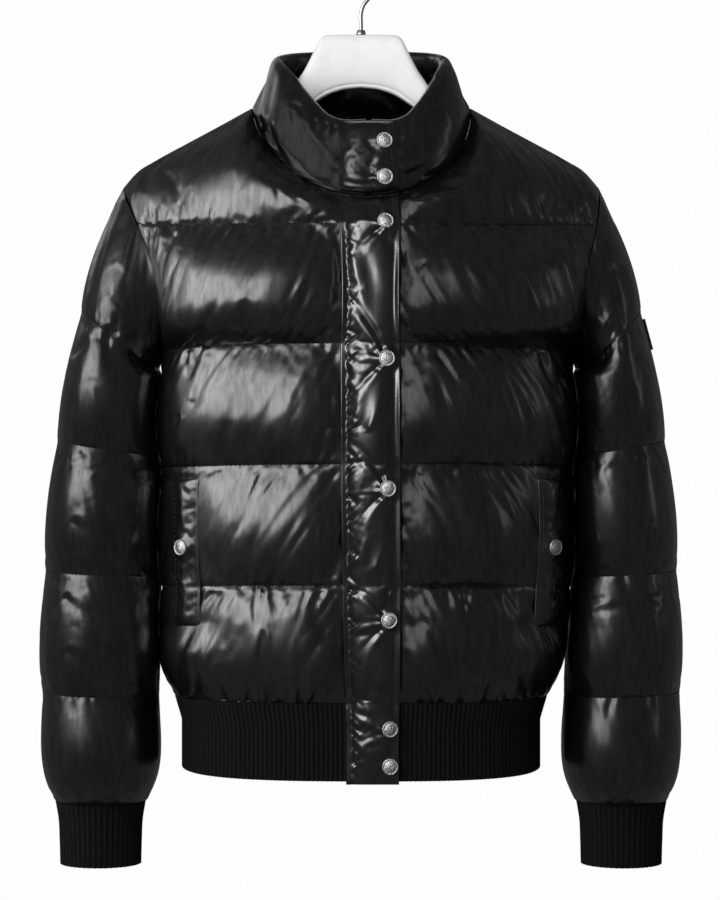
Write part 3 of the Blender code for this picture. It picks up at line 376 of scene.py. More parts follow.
def smooth(places, values, at):
    """A cubic through the rows of a table, each row's slope taken from its neighbours."""
    places, values = np.asarray(places, float), np.asarray(values, float)
    at = np.asarray(at, float)
    slopes = np.gradient(values, places)
    i = np.clip(np.searchsorted(places, at) - 1, 0, len(places) - 2)
    step = places[i + 1] - places[i]
    t = np.clip((at - places[i]) / step, 0.0, 1.0)
    start = (1 + 2 * t) * (1 - t) ** 2 * values[i] + t * (1 - t) ** 2 * step * slopes[i]
    end = t * t * (3 - 2 * t) * values[i + 1] + t * t * (t - 1) * step * slopes[i + 1]
    return start + end


def ease(low, high, at):
    """A smooth step from 0 at low to 1 at high."""
    t = np.clip((np.asarray(at, float) - low) / (high - low), 0.0, 1.0)
    return t * t * (3 - 2 * t)


def read(table, key, at):
    """One value of a table whose rows are ordered by their "at"."""
    return smooth(table["at"], table[key], at)


def at_level(table, key, level):
    """One value of a table whose rows go down by their height."""
    return smooth([-z for z in table["z"]], table[key], -level)


def points_of(x, y, z):
    return np.stack(np.broadcast_arrays(x, y, z), axis=-1).astype(float)


def unit(vectors):
    return vectors / np.maximum(np.linalg.norm(vectors, axis=-1, keepdims=True), 1e-9)


def spans(points, axis=0):
    """The distance from each point to the next, along one axis of a grid of points."""
    return np.linalg.norm(np.diff(points, axis=axis), axis=-1)


def summed(steps):
    """The running total of some steps, from 0."""
    return np.concatenate(((0,), np.cumsum(steps)))


def on_line(line, length, at):
    """The points that lie some lengths along a line of points."""
    return np.stack([np.interp(at, length, line[:, k]) for k in range(3)], axis=-1)


# %% [markdown]
# The body is cut from fronts and a back. Their seams are lines in space: the neck, the
# shoulder, the armhole and the seam across the chest. Between them the cloth follows a
# surface patch, and below the arms it follows rounded rings that narrow to the hem.

# %% Seam lines of the body
def armhole(side, face, at):
    x = SIDES[side] * read(ARMHOLE, "x", at) + read(ARMHOLE, "shift", at)
    return points_of(x, -FACES[face] * read(ARMHOLE, "depth", at), read(ARMHOLE, "z", at))


def neck(side, angle):
    turn = np.radians(np.asarray(angle, float))
    along, across = np.cos(turn), SIDES[side] * NECK_HALF_WIDTH * np.sin(turn)
    ahead = np.clip(along, 0, 1)
    behind = np.clip(-along, 0, 1)
    drop = NECK_FRONT_DROP * ahead ** NECK_FRONT_CURVE + NECK_BACK_DROP * behind ** NECK_BACK_CURVE
    y = -NECK_FRONT_DEPTH * ahead + NECK_BACK_DEPTH * behind
    return points_of(across + OPENING_X * ahead, y, NECK_SHOULDER_Z - drop)


def neck_angle(face, column):
    share = np.minimum(np.asarray(column, float) / NECK_SHARE, 1.0)
    return 90.0 * share ** NECK_EASE if face == "front" else 180.0 - 90.0 * share


def top_edge(side, face, column):
    column = np.asarray(column, float)
    at = np.clip((column - NECK_SHARE) / (1 - NECK_SHARE), 0, 1)
    shoulder = points_of(SIDES[side] * read(SHOULDER, "x", at), 0.0, read(SHOULDER, "z", at))
    return np.where((column <= NECK_SHARE)[..., None], neck(side, neck_angle(face, column)), shoulder)


def centre_x(face, level):
    if face == "front":
        return float(at_level(BODY, "opening_x", level))
    return float(at_level(BODY, "left_x", level) + at_level(BODY, "right_x", level)) / 2


def chest(side, face, column):
    column = np.asarray(column, float)
    end = armhole(side, face, YOKE_END)
    sweep = math.radians(CHEST_SWEEP)
    share = (np.cos(sweep * column) - math.cos(sweep)) / (1 - math.cos(sweep))
    x = lerp(centre_x(face, BODY["z"][0]), end[0], np.sin(sweep * column) / math.sin(sweep))
    y = lerp(end[1], -FACES[face] * CHEST_DEPTH[face], share)
    return points_of(x, y, lerp(CHEST_Z, end[2], column ** 2))


# %% Rings below the arms
def quarter(width, depth, column):
    """A share of the way along a rounded quarter: how far across, and how deep."""
    turns = np.linspace(0, math.pi / 2, 129)
    across = width * np.sin(turns) ** (2 / ROUNDNESS)
    deep = depth * np.clip(np.cos(turns), 0, 1) ** (2 / ROUNDNESS)
    length = summed(np.hypot(np.diff(across), np.diff(deep)))
    at = np.asarray(column, float) * length[-1]
    return np.interp(at, length, across), np.interp(at, length, deep)


def body_ring(side, face, level, column):
    middle = centre_x(face, level)
    width = abs(float(at_level(BODY, side + "_x", level)) - middle)
    across, deep = quarter(width, float(at_level(BODY, face, level)), column)
    fade = min(1.0, (level - SEAMS_Z[-1]) / SIDE_FADE)
    z = level - SIDE_DROP * np.asarray(column, float) ** 3 * fade
    return points_of(middle + SIDES[side] * across, -FACES[face] * deep, z)


def side_level(points, column):
    """Lowers the armpit's end of the seam under the arms to the armpit."""
    lowered = points.copy()
    lowered[..., 2] -= (ARMPIT_DROP - SIDE_DROP) * np.asarray(column, float) ** 6
    return lowered


# %% The body's smooth skin
def patch(top, bottom, inner, outer, column, share, power):
    """A smooth surface between four edges, its depth running ahead of its height."""
    first, last = np.zeros(1), np.ones(1)

    def at(v):
        v, u = np.broadcast_to(v, column.shape)[:, None], column[:, None]
        corners = lerp(lerp(top(first), top(last), u), lerp(bottom(first), bottom(last), u), v)
        return lerp(top(column), bottom(column), v) + lerp(inner(share), outer(share), u) - corners

    points = at(share)
    points[:, 1] = at(share ** power)[:, 1]
    return points


def body_row(side, face, channel, share, column):
    """One row of the body's skin through all its columns."""
    if channel == 0:
        start, end = top_edge(side, face, 0.0), chest(side, face, 0.0)
        wide = np.minimum(column / NECK_SHARE, 1.0)
        return patch(
            lambda u: top_edge(side, face, u), lambda u: chest(side, face, u),
            lambda v: lerp(start, end, v), lambda v: armhole(side, face, YOKE_END * v),
            column, share, lerp(1.0, 0.6, wide * wide * (3 - 2 * wide)),
        )
    if channel == 1:
        start, end = chest(side, face, 0.0), body_ring(side, face, SEAMS_Z[0], 0.0)
        return patch(
            lambda u: chest(side, face, u),
            lambda u: side_level(body_ring(side, face, SEAMS_Z[0], u), u),
            lambda v: lerp(start, end, v),
            lambda v: armhole(side, face, lerp(YOKE_END, 1.0, v)),
            column, share, 1.0,
        )
    points = body_ring(side, face, lerp(SEAMS_Z[channel - 2], SEAMS_Z[channel - 1], share), column)
    fade = 1 - share if channel == 2 else 0.0
    return points + fade * (side_level(points, column) - points)


# %% [markdown]
# Many steps below read all the corners of a mesh into an array, work out new places and
# write them back. That is far quicker than a loop over corners, and takes one line each.

# %% Reading and moving the corners of a mesh
def read_all(items, key, width=1, kind=float):
    """One value of every vertex, edge or corner, or a row of some values, as an array."""
    flat = np.zeros(len(items) * width, kind)
    items.foreach_get(key, flat)
    return flat.reshape(-1, width) if width > 1 else flat


def co_of(mesh):
    return read_all(mesh.vertices, "co", 3)


def normals_at(mesh):
    return read_all(mesh.vertices, "normal", 3)


def move_to(mesh, co):
    mesh.vertices.foreach_set("co", co.astype(np.float32).ravel())
    mesh.update()


def moved_along(mesh, lift):
    """Moves every corner along its normal by so many millimetres."""
    move_to(mesh, co_of(mesh) + normals_at(mesh) * lift[:, None] * MM)


def into(mesh, bm):
    """Writes a bmesh into a mesh, and frees it."""
    bm.to_mesh(mesh)
    bm.free()
    return mesh


# %% [markdown]
# Every cloth piece starts as a flat grid from Blender's own operator. Its corners are then
# moved onto the skin that the tables give, row by row. A tube is the same grid with its
# first and last columns welded. Each piece also gets a map that counts metres of cloth.

# %% A grid of cloth
def grid_mesh(name, points, closed=False, closed_down=False):
    """A mesh over rows and columns of points in millimetres, welded round where it is closed."""
    points = np.asarray(points, float)
    if closed:
        points = np.concatenate((points, points[:, :1]), axis=1)
    if closed_down:
        points = np.concatenate((points, points[:1]), axis=0)
    rows, columns = points.shape[:2]
    bm = bmesh.new()
    bmesh.ops.create_grid(bm, x_segments=columns - 1, y_segments=rows - 1, size=1.0)
    mesh = into(bpy.data.meshes.new(name), bm)
    flat = co_of(mesh)
    column = np.rint((flat[:, 0] + 1) / 2 * (columns - 1)).astype(int)
    row = np.rint((1 - flat[:, 1]) / 2 * (rows - 1)).astype(int)
    give_map(mesh, points, row, column)
    for key, place, count in (("row", row, rows - closed_down), ("column", column, columns - closed)):
        mesh.attributes.new(key, "INT", "POINT").data.foreach_set("value", (place % count).astype(np.int32))
    move_to(mesh, points[row, column] * MM)
    if closed or closed_down:
        bm = bmesh.new()
        bm.from_mesh(mesh)
        bmesh.ops.remove_doubles(bm, verts=bm.verts, dist=1e-6)
        into(mesh, bm)
    return mesh


def give_map(mesh, points, row, column):
    """A map in metres: across from the mean length of the rows, down from that of the columns."""
    u = summed(spans(points, 1).mean(axis=0)) * MM
    v = summed(spans(points, 0).mean(axis=1)) * MM
    corner = read_all(mesh.loops, "vertex_index", kind=int)
    flat = np.stack((u[column[corner]], v[row[corner]]), axis=1)
    mesh.uv_layers.new(name="cloth").data.foreach_set("uv", flat.astype(np.float32).ravel())


def map_of(mesh):
    """Each corner's place on the flat cloth, in millimetres across and down."""
    place = np.zeros((len(mesh.vertices), 2))
    place[read_all(mesh.loops, "vertex_index", kind=int)] = read_all(mesh.uv_layers[0].data, "uv", 2) / MM
    return place


def grid_places(mesh):
    """The row and the column of each corner."""
    return [read_all(mesh.attributes[key].data, "value", kind=np.int32) for key in ("row", "column")]


def laid_on(mesh, values):
    """Values given for rows and columns, in the order of the mesh's corners."""
    row, column = grid_places(mesh)
    return np.broadcast_to(values, (max(row) + 1, max(column) + 1))[row, column]


def rows_and_columns(mesh):
    """The mesh's points in millimetres, by row and column."""
    row, column = grid_places(mesh)
    grid = np.zeros((max(row) + 1, max(column) + 1, 3))
    grid[row, column] = co_of(mesh) / MM
    return grid


# %% [markdown]
# A finished piece rides on the jacket's one body and takes the place of its solid. Cloth is
# refined before that. Refining rounds it between its corners, but a quilting seam is a sharp
# valley, so the edges along the seams are marked first and the finer mesh keeps them.

# %% Finer cloth, and showing a finished piece
def creased(mesh, rows):
    """Marks the edges along some rows, so that refining keeps them sharp."""
    first, second = grid_places(mesh)[0][read_all(mesh.edges, "vertices", 2, int)].T
    sharp = ((first == second) & np.isin(first, rows)).astype(np.float32)
    mesh.attributes.new("crease_edge", "FLOAT", "EDGE").data.foreach_set("value", sharp)


def keep_sharp(mesh):
    """Shades the creased edges of a refined mesh as sharp ones."""
    crease = read_all(mesh.attributes["crease_edge"].data, "value", kind=np.float32)
    sharp = mesh.attributes.get("sharp_edge") or mesh.attributes.new("sharp_edge", "BOOLEAN", "EDGE")
    was = read_all(sharp.data, "value", kind=bool)
    sharp.data.foreach_set("value", was | (crease > 0.5))


def refined(mesh):
    """The mesh after a Subdivision Surface modifier."""
    obj = bpy.data.objects.new("refining", mesh)
    bpy.context.scene.collection.objects.link(obj)
    modifier = obj.modifiers.new("finer", "SUBSURF")
    modifier.levels = modifier.render_levels = 1
    modifier.boundary_smooth = "PRESERVE_CORNERS"
    modifier.uv_smooth = "PRESERVE_BOUNDARIES"
    result = bpy.data.meshes.new_from_object(obj.evaluated_get(bpy.context.evaluated_depsgraph_get()))
    bpy.data.objects.remove(obj)
    return result


def show(name, mesh, finish, replaces=(), smooth_angle=None):
    """A finished piece: in the scene, on the jacket's body, with its finish."""
    mesh.materials.clear()
    mesh.materials.append(finish)
    mesh.shade_smooth()
    if smooth_angle:
        mesh.set_sharp_from_angle(angle=math.radians(smooth_angle))
    if "crease_edge" in mesh.attributes:
        keep_sharp(mesh)
    obj = bpy.data.objects.new(name + "_fine", mesh)
    bpy.context.scene.collection.objects.link(obj)
    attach(obj, "root")
    if replaces:
        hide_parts(*replaces)
    return obj


# %% [markdown]
# A sewn piece is cloth outside and plain inside. The inner wall is a coarser grid, and a
# strip of triangles joins the two along every open edge, which closes the piece.

# %% Closing a piece
def loop_of(edges):
    """The corners of one closed row of edges, in order."""
    line = [edges[0].verts[0], edges[0].verts[1]]
    near = {}
    for edge in edges:
        for vert in edge.verts:
            near.setdefault(vert, []).append(edge)
    while True:
        last = line[-1]
        step = [e.other_vert(last) for e in near[last] if e.other_vert(last) is not line[-2]][0]
        if step is line[0]:
            return line
        line.append(step)


def loops_of(bm):
    """Every open edge row of the mesh as an ordered loop."""
    open_edges = {edge for edge in bm.edges if edge.is_boundary}
    loops = []
    while open_edges:
        start = next(iter(open_edges))
        found, front = {start}, [start]
        while front:
            edge = front.pop()
            for vert in edge.verts:
                for other in vert.link_edges:
                    if other in open_edges and other not in found:
                        found.add(other)
                        front.append(other)
        open_edges -= found
        loops.append(loop_of([edge for edge in bm.edges if edge in found]))
    return loops


def joined(bm, first, second):
    """A strip of triangles between two loops with any numbers of corners."""
    near = min(range(len(second)), key=lambda k: (second[k].co - first[0].co).length)
    second = second[near:] + second[:near]
    probe = first[len(first) // 8].co
    if (second[len(second) // 8].co - probe).length > (second[-(len(second) // 8)].co - probe).length:
        second = second[:1] + second[:0:-1]
    i = j = 0
    while i < len(first) or j < len(second):
        a, b = first[i % len(first)], second[j % len(second)]
        next_a, next_b = first[(i + 1) % len(first)], second[(j + 1) % len(second)]
        if j == len(second) or (i < len(first) and (next_a.co - b.co).length < (a.co - next_b.co).length):
            bm.faces.new((a, next_a, b))
            i += 1
        else:
            bm.faces.new((a, next_b, b))
            j += 1


def middle_of(loop):
    return sum((vert.co for vert in loop), Vector()) / len(loop)


def lined(mesh, inner):
    """Adds a plain inner wall and joins the edges of both, which closes the piece."""
    bm = bmesh.new()
    bm.from_mesh(mesh)
    outer_loops = loops_of(bm)
    known = {vert for loop in outer_loops for vert in loop}
    bm.from_mesh(inner)
    inner_loops = [loop for loop in loops_of(bm) if loop[0] not in known]
    for loop in outer_loops:
        middle = middle_of(loop)
        joined(bm, loop, min(inner_loops, key=lambda other: (middle_of(other) - middle).length))
    bmesh.ops.recalc_face_normals(bm, faces=bm.faces)
    return into(mesh, bm)


def close_up(bm):
    """Fills the open ends of a tube and turns its faces outwards."""
    bmesh.ops.holes_fill(bm, edges=[edge for edge in bm.edges if edge.is_boundary], sides=0)
    bmesh.ops.recalc_face_normals(bm, faces=bm.faces)


def capped(mesh):
    """A tube of cloth or wire with its open ends closed."""
    bm = bmesh.new()
    bm.from_mesh(mesh)
    close_up(bm)
    return into(mesh, bm)


# %% [markdown]
# A quilted channel is a strip of cloth sewn down along both edges and blown up by its
# filling. Blender's cloth solver does just that here. The seams are pinned, the cloth is
# cut a little too large, and a light pressure lifts it, so the puckers come by themselves.
# All pieces are simulated side by side in one run, and no point may stray from its place.

# %% Blowing up the quilting
PUFFED, TOPS = {}, {}
FRAMES = 16
CLOTH = {
    "quality": 6, "mass": 0.15, "tension_stiffness": 25.0, "compression_stiffness": 25.0,
    "shear_stiffness": 10.0, "tension_damping": 5.0, "compression_damping": 5.0, "shear_damping": 5.0,
    "bending_damping": 0.5, "air_damping": 3.0, "use_pressure": True, "vertex_group_mass": "pins",
}


def faced(mesh, out):
    """Turns the faces so that their front looks the way that out says for each row and column."""
    facing = np.stack([laid_on(mesh, out[..., k]) for k in range(3)], axis=1)
    if np.sum(normals_at(mesh) * facing) < 0:
        mesh.flip_normals()


def sew(name, points, pins, limit, out, pressure=3.0, spare=0.03, bending=0.08, **closed):
    """Prepares a piece for the solver: pins, spare cloth, pressure and the limit in millimetres.
    Points, pins, limit and the outward direction are given by row and column."""
    mesh = grid_mesh(name, points, **closed)
    faced(mesh, out)
    obj = bpy.data.objects.new("sewing_" + name, mesh)
    bpy.context.scene.collection.objects.link(obj)
    group = obj.vertex_groups.new(name="pins")
    group.add([int(i) for i in np.flatnonzero(laid_on(mesh, pins))], 1.0, "REPLACE")
    modifier = obj.modifiers.new("cloth", "CLOTH")
    cloth = modifier.settings
    for key, value in CLOTH.items():
        setattr(cloth, key, value)
    cloth.bending_stiffness = bending
    cloth.uniform_pressure_force = pressure
    cloth.shrink_min = -spare
    cloth.effector_weights.gravity = 0.0
    modifier.collision_settings.use_collision = False
    modifier.point_cache.frame_end = FRAMES
    PUFFED[name] = (obj, co_of(mesh), laid_on(mesh, limit))


def blow_up():
    """Runs the solver for every sewn piece and keeps each point within its limit."""
    scene = bpy.context.scene
    for frame_number in range(1, FRAMES + 1):
        scene.frame_set(frame_number)
    graph = bpy.context.evaluated_depsgraph_get()
    for name, (obj, start, limit) in PUFFED.items():
        mesh = obj.data
        moved = co_of(obj.evaluated_get(graph).to_mesh()) - start
        length = np.linalg.norm(moved, axis=1)
        allowed = limit * MM
        short = allowed * np.tanh(length / np.maximum(allowed, 1e-9))
        move_to(mesh, start + moved * (short / np.maximum(length, 1e-9))[:, None])
        print(name, "moved by up to", round(float(length.max()) * 1000, 1), "mm")
        bpy.data.objects.remove(obj)
        mesh.name = name
        PUFFED[name] = mesh
        TOPS[name] = rows_and_columns(mesh)
    scene.frame_set(1)


# %% [markdown]
# The quilted fronts and back have five channels each. A channel's rows are spread evenly
# between its two seams, and its padding rises as a rounded arch that dies out at the side.
# The fronts are lower where the flap and the pocket welts lie on them.

# %% Rows and heights of the body's panels
CHANNEL_STEPS = (24, 32, 32, 32, 32)
PANEL_COLUMNS = 66
SAG, LAST_SAG, PUFF_ROUNDNESS = 1.3, 0.9, 0.75
FRONT_PUFF = {
    "at": (0.0, FLAP_EDGE, 0.15, 0.19, 0.28, 0.45, 0.6, 0.75, 0.9, 1.0),
    "right": (0.0, 1.5, 8.5, 12.5, 15.5, 15.0, 13.0, 8.5, 5.0, 2.5),
    "left": (0.0, 3.5, 12.5, 14.6, 15.5, 15.0, 13.0, 8.5, 5.0, 2.5),
    "pocket": (0.0, 2.0, 8.0, 11.0, 13.5, 13.5, 2.5, 2.0, 4.0, 2.5),
}
BACK_PUFF = {"at": (0.0, 0.5, 0.75, 0.9, 1.0), "height": (16.0, 15.0, 7.5, 1.5, 1.5)}


def rows_of(steps):
    """The channel of each row of a panel, and how far down the channel it is."""
    rows = [(0, 0.0)]
    for channel, count in enumerate(steps):
        rows += [(channel, k / count) for k in range(1, count + 1)]
    return rows


BODY_ROWS, SEAM_ROWS = rows_of(CHANNEL_STEPS), summed(CHANNEL_STEPS)
print("rows", len(BODY_ROWS), "with seams at", SEAM_ROWS)


def arch(share, sag=SAG):
    """The rise of the padding between two seams. It hangs, so it is fullest below the middle."""
    return np.clip(np.sin(np.pi * np.asarray(share, float) ** sag), 0, 1) ** PUFF_ROUNDNESS


def front_height(side, channel, share, column):
    pocket = {3: 1.0, 4: 1.0 - float(ease(0.3, 0.62, share))}.get(channel, 0.0)
    height = lerp(read(FRONT_PUFF, side, column), read(FRONT_PUFF, "pocket", column), pocket)
    return height * arch(share, LAST_SAG if channel == 4 else SAG)


def back_height(side, channel, share, column):
    return read(BACK_PUFF, "height", column) * arch(share)


def normals_of(points, outward):
    """Unit normals over rows and columns of points, on the side that outward names."""
    normals = unit(np.cross(np.gradient(points, axis=1), np.gradient(points, axis=0)))
    return normals if np.sum(normals * outward) > 0 else -normals


def pulled(points):
    """The same points with the four edges a little back from the seams."""
    moved = points.copy()
    for edge, near in ((0, 1), (-1, -2)):
        moved[edge] += SEAM_GAP * unit(points[near] - points[edge])
        moved[:, edge] += SEAM_GAP * unit(points[:, near] - points[:, edge])
    return moved


def half_panel(side, face, column):
    """One side of a front or of the back: its skin and the padding's height, row by row."""
    height_at = front_height if face == "front" else back_height
    skin = np.array([body_row(side, face, c, s, column) for c, s in BODY_ROWS])
    return skin, np.array([height_at(side, c, s, column) for c, s in BODY_ROWS])


# %% Fronts and back, ready to be blown up
SKINS, SEAM_PLACES = {}, {}
CUT_RISE = 0.9     # the part of the padding's height that is cut in before it is blown up
PANEL_ROOM, EDGE_ROOM, FULL_HEIGHT = 4.0, 0.4, 12.0


def seam_places(points, steps):
    """How far down the flat cloth each quilting seam lies."""
    return summed(spans(points).mean(axis=1))[summed(steps)]


def sew_panel(name, skin, height, edges, flat=slice(0), swollen=1):
    """Cuts a panel whose sides and quilting seams are sewn down. The padding dies out at the
    edges named, and the flat columns are sewn down too."""
    height[:, edges] = 0.0
    normals = normals_of(skin, skin * (1, 1, 0))
    pins = np.zeros(height.shape, bool)
    pins[SEAM_ROWS] = True
    pins[:, (0, -1)] = True
    pins[:, flat] = True
    SKINS[name] = (skin, normals)
    SEAM_PLACES[name] = seam_places(skin + swollen * normals * height[..., None], CHANNEL_STEPS)
    outer = pulled(skin + normals * (CUT_RISE * height)[..., None])
    room = PANEL_ROOM * np.sqrt(np.clip(height / FULL_HEIGHT, 0, 1)) + EDGE_ROOM
    sew(name, outer, pins, room, normals, pressure=2.0, spare=0.012)


def sew_body():
    columns = np.linspace(OPENING_EDGE, 1.0, PANEL_COLUMNS + 1)
    for side in SIDES:
        sew_panel("front_" + side, *half_panel(side, "front", columns), -1, columns < FLAP_EDGE)
    columns = np.linspace(0.0, 1.0, PANEL_COLUMNS + 1)
    halves = [half_panel(side, "back", columns) for side in SIDES]
    skin, height = (np.concatenate((right[:, :0:-1], left), axis=1) for right, left in zip(*halves))
    sew_panel("back", skin, height, (0, -1), swollen=0)


sew_body()
print("fronts and back are cut")

# %% [markdown]
# A sleeve is a tube. It starts at the armhole, and its rings turn smoothly from that seam
# into an oval that hangs down to the cuff. The side that faces the body is kept slack and
# still, because the real sleeve is pressed against the body there.

# %% Sleeves
SLEEVE = {
    "at": (1.0, 2.0, 3.0, 4.0, 4.75, 5.0),
    "outer_x": (258.5, 280.5, 291.0, 293.5, 288.5, 282.0),
    "outer_z": (-337.6, -457.6, -576.6, -688.0, -766.0, -788.0),
    "right_inner_x": (190.0, 190.5, 190.0, 186.5, 189.5, 197.0),
    "left_inner_x": (201.5, 201.5, 199.0, 187.5, 189.5, 197.0),
    "inner_z": (-391.0, -473.0, -582.0, -691.0, -768.0, -788.0),
    "middle_y": (-6.0, -9.0, -13.0, -17.0, -19.0, -20.0),
    "half_depth": (64.0, 62.0, 60.0, 57.0, 52.0, 41.0),
}
SLEEVE_STEPS = (36, 34, 34, 34, 34)
SLEEVE_ROUND = 96
SLEEVE_PUFF = {"outer": 2.4, "cap": 6.5, "face": 11.0, "inner": 1.0}
SLEEVE_ROOM, CAP_ROOM = (0.5, 1.3), 0.25     # the cap stays smooth
CAP_LIMIT = 0.09
CAP_ROWS = (
    0.0, 0.0184, 0.0805, 0.1495, 0.2116, 0.23, 0.2762, 0.384, 0.538, 0.692, 0.846, 0.9538, 1.0,
)


def sleeve_ring(side, at, turn):
    row = {key: float(read(SLEEVE, key, at)) for key in SLEEVE if key != "at"}
    outer = np.array((SIDES[side] * row["outer_x"], row["middle_y"], row["outer_z"]))
    inner = np.array((SIDES[side] * row[side + "_inner_x"], row["middle_y"], row["inner_z"]))
    across = (outer - inner) / 2 * np.cos(turn)[:, None]
    return (outer + inner) / 2 + across + points_of(0.0, -row["half_depth"] * np.sin(turn), 0.0)


def sleeve_row(side, at, turn):
    """One ring of the sleeve. The cap's rings turn from the armhole into the first oval."""
    if at >= 1.0:
        return sleeve_ring(side, at, turn)
    half = np.where(turn <= math.pi, turn, 2 * math.pi - turn) / math.pi * (len(CAP_ROWS) - 1)
    place = np.interp(half, range(len(CAP_ROWS)), CAP_ROWS)
    front, back = armhole(side, "front", place), armhole(side, "back", place)
    start = np.where((turn <= math.pi)[:, None], front, back)
    return lerp(start, sleeve_ring(side, 1.0, turn), at)


def sleeve_height(side, channel, share, turn, length):
    facing = np.abs(np.sin(turn))
    edge = np.where(np.cos(turn) > 0, SLEEVE_PUFF["cap" if channel == 0 else "outer"], SLEEVE_PUFF["inner"])
    height = lerp(edge, SLEEVE_PUFF["face"], facing ** 1.5) * arch(share)
    if channel == 0:
        height = np.minimum(height, CAP_LIMIT * length) * (1 + np.cos(turn)) / 2
    return height


def sew_sleeve(side):
    turn = np.linspace(math.pi, 3 * math.pi, SLEEVE_ROUND, endpoint=False) % (2 * math.pi)
    rows = rows_of(SLEEVE_STEPS)
    skin = np.array([sleeve_row(side, c + s, turn) for c, s in rows])
    length = np.linalg.norm(sleeve_row(side, 1.0, turn) - sleeve_row(side, 0.0, turn), axis=1)
    height = np.array([sleeve_height(side, c, s, turn, length) for c, s in rows])
    wrapped = np.concatenate((skin[:, -1:], skin, skin[:, :1]), axis=1)
    normals = normals_of(wrapped, wrapped - wrapped.mean(axis=1, keepdims=True))[:, 1:-1]
    outer = skin + normals * (CUT_RISE * height)[..., None]
    for edge, near in ((0, 1), (-1, -2)):
        outer[edge] += 1.5 * SEAM_GAP * unit(outer[near] - outer[edge])
    pins = np.zeros(height.shape, bool)
    pins[summed(SLEEVE_STEPS)] = True
    SKINS["sleeve_" + side] = (skin, normals)
    SEAM_PLACES["sleeve_" + side] = seam_places(outer, SLEEVE_STEPS)
    loose = np.clip(0.35 + 0.65 * np.cos(turn) + 0.5 * np.abs(np.sin(turn)), 0, 1)
    room = lerp(*SLEEVE_ROOM, loose) * np.sqrt(np.clip(height / 5.0, 0.02, 1))
    room[:SLEEVE_STEPS[0]] *= CAP_ROOM
    sew("sleeve_" + side, outer, pins, room, normals, spare=0.007, bending=0.3, closed=True)


for side in SIDES:
    sew_sleeve(side)
print("sleeves are cut")

# %% [markdown]
# The stand collar is one soft roll round the neck. Its section climbs from the outer neck
# seam, turns over at the top and comes down inside. The flap is a padded strip over the
# closed front, cut with the collar's own strip above it.

# %% Collar
COLLAR_TOP = {
    "at": (0.0, 20.0, 27.0, 36.0, 46.0, 62.0, 90.0, 120.0, 150.0, 180.0),     # degrees round the neck
    "z": (-166.0, -165.0, -161.0, -150.0, -137.0, -119.0, -102.0, -93.0, -88.0, -85.5),
}
COLLAR_HALF_WIDTH, COLLAR_FRONT, COLLAR_BACK = 80.0, 72.0, 55.0
COLLAR_SECTION = {
    "up": (0.0, 0.12, 0.35, 0.62, 0.84, 0.96, 1.0, 0.97, 0.82, 0.45, 0.12, 0.0),
    "out": (0.0, 1.0, 2.0, 2.5, 2.5, 0.5, -4.0, -9.5, -13.0, -12.0, -7.0, -3.0),
    "puff": (0.0, 0.5, 1.0, 1.0, 0.6, 0.2, 0.0, 0.0, 0.0, 0.0, 0.0, 0.0),
}
COLLAR_PUFF = {
    "at": (0.0, 25.0, 50.0, 75.0, 90.0, 105.0, 130.0, 180.0),
    "height": (1.0, 5.0, 7.5, 1.0, -3.0, -1.0, 5.0, 8.0),
}
COLLAR_THIN_END = {"angle": (0.0, 30.0, 60.0), "share": (0.55, 0.75, 1.0)}
COLLAR_ROUND, COLLAR_STEPS = 150, 46
COLLAR_ROOM = 3.5


def collar_top(side, angle):
    turn = math.radians(angle)
    along = math.cos(turn)
    deep = COLLAR_FRONT if angle <= 90 else COLLAR_BACK
    x = SIDES[side] * COLLAR_HALF_WIDTH * math.sin(turn) + OPENING_X * max(along, 0)
    return np.array((x, -deep * along, float(read(COLLAR_TOP, "z", angle))))


def collar_section(side, angle):
    """The collar's section at one place round the neck, through the rows of its table."""
    seam, top = neck(side, angle), collar_top(side, angle)
    out = unit(np.array((seam[0] / NECK_HALF_WIDTH, seam[1] / NECK_FRONT_DEPTH, 0.0)))
    offset = np.array(COLLAR_SECTION["out"])
    offset[1:-1] *= float(np.interp(angle, COLLAR_THIN_END["angle"], COLLAR_THIN_END["share"]))
    offset += np.array(COLLAR_SECTION["puff"]) * float(read(COLLAR_PUFF, "height", angle))
    ring = lerp(seam, top, np.array(COLLAR_SECTION["up"])[:, None]) + out * offset[:, None]
    rise = unit(top - seam) * 2 * SEAM_GAP
    ring[0] += rise
    ring[-1] = seam + rise - out * WALL * 0.6
    return ring


def even(line, count):
    """Points spread evenly along a smooth curve through a line of points."""
    length = summed(spans(line))
    at = np.linspace(0, length[-1], count)
    return np.stack([smooth(length, line[:, k], at) for k in range(3)], axis=1)


def collar_points():
    start = float(neck_angle("front", OPENING_EDGE))
    angles = np.linspace(start, 180.0, COLLAR_ROUND // 2 + 1)
    places = [("right", a) for a in angles] + [("left", a) for a in angles[-2::-1]]
    return np.array([even(collar_section(*place), COLLAR_STEPS + 1) for place in places]).transpose(1, 0, 2)


def sew_collar():
    points = collar_points()
    pins = np.zeros(points.shape[:2], bool)
    pins[(0, -1), :] = True
    pins[:, (0, -1)] = True
    down, round_neck = np.linspace(0, 1, points.shape[0]), np.linspace(0, 1, points.shape[1])
    room = COLLAR_ROOM * np.clip(np.sin(np.pi * down[:, None]) * 3, 0, 1)
    room = room * np.clip(np.sin(np.pi * round_neck) * 6, 0.1, 1)
    out = points - points.mean(axis=0)
    sew("collar", points, pins, room, out, pressure=2.5, spare=0.01, closed_down=True)


sew_collar()
print("collar is cut")

# %% [markdown]
# The flap, its upper part on the collar and the pocket welts are padded strips. Each has a
# thin rounded edge that is sewn flat, and a middle that is blown up. Where a press stud is
# set, the cloth is drawn down to the stud's foot, and the creases run out from there.

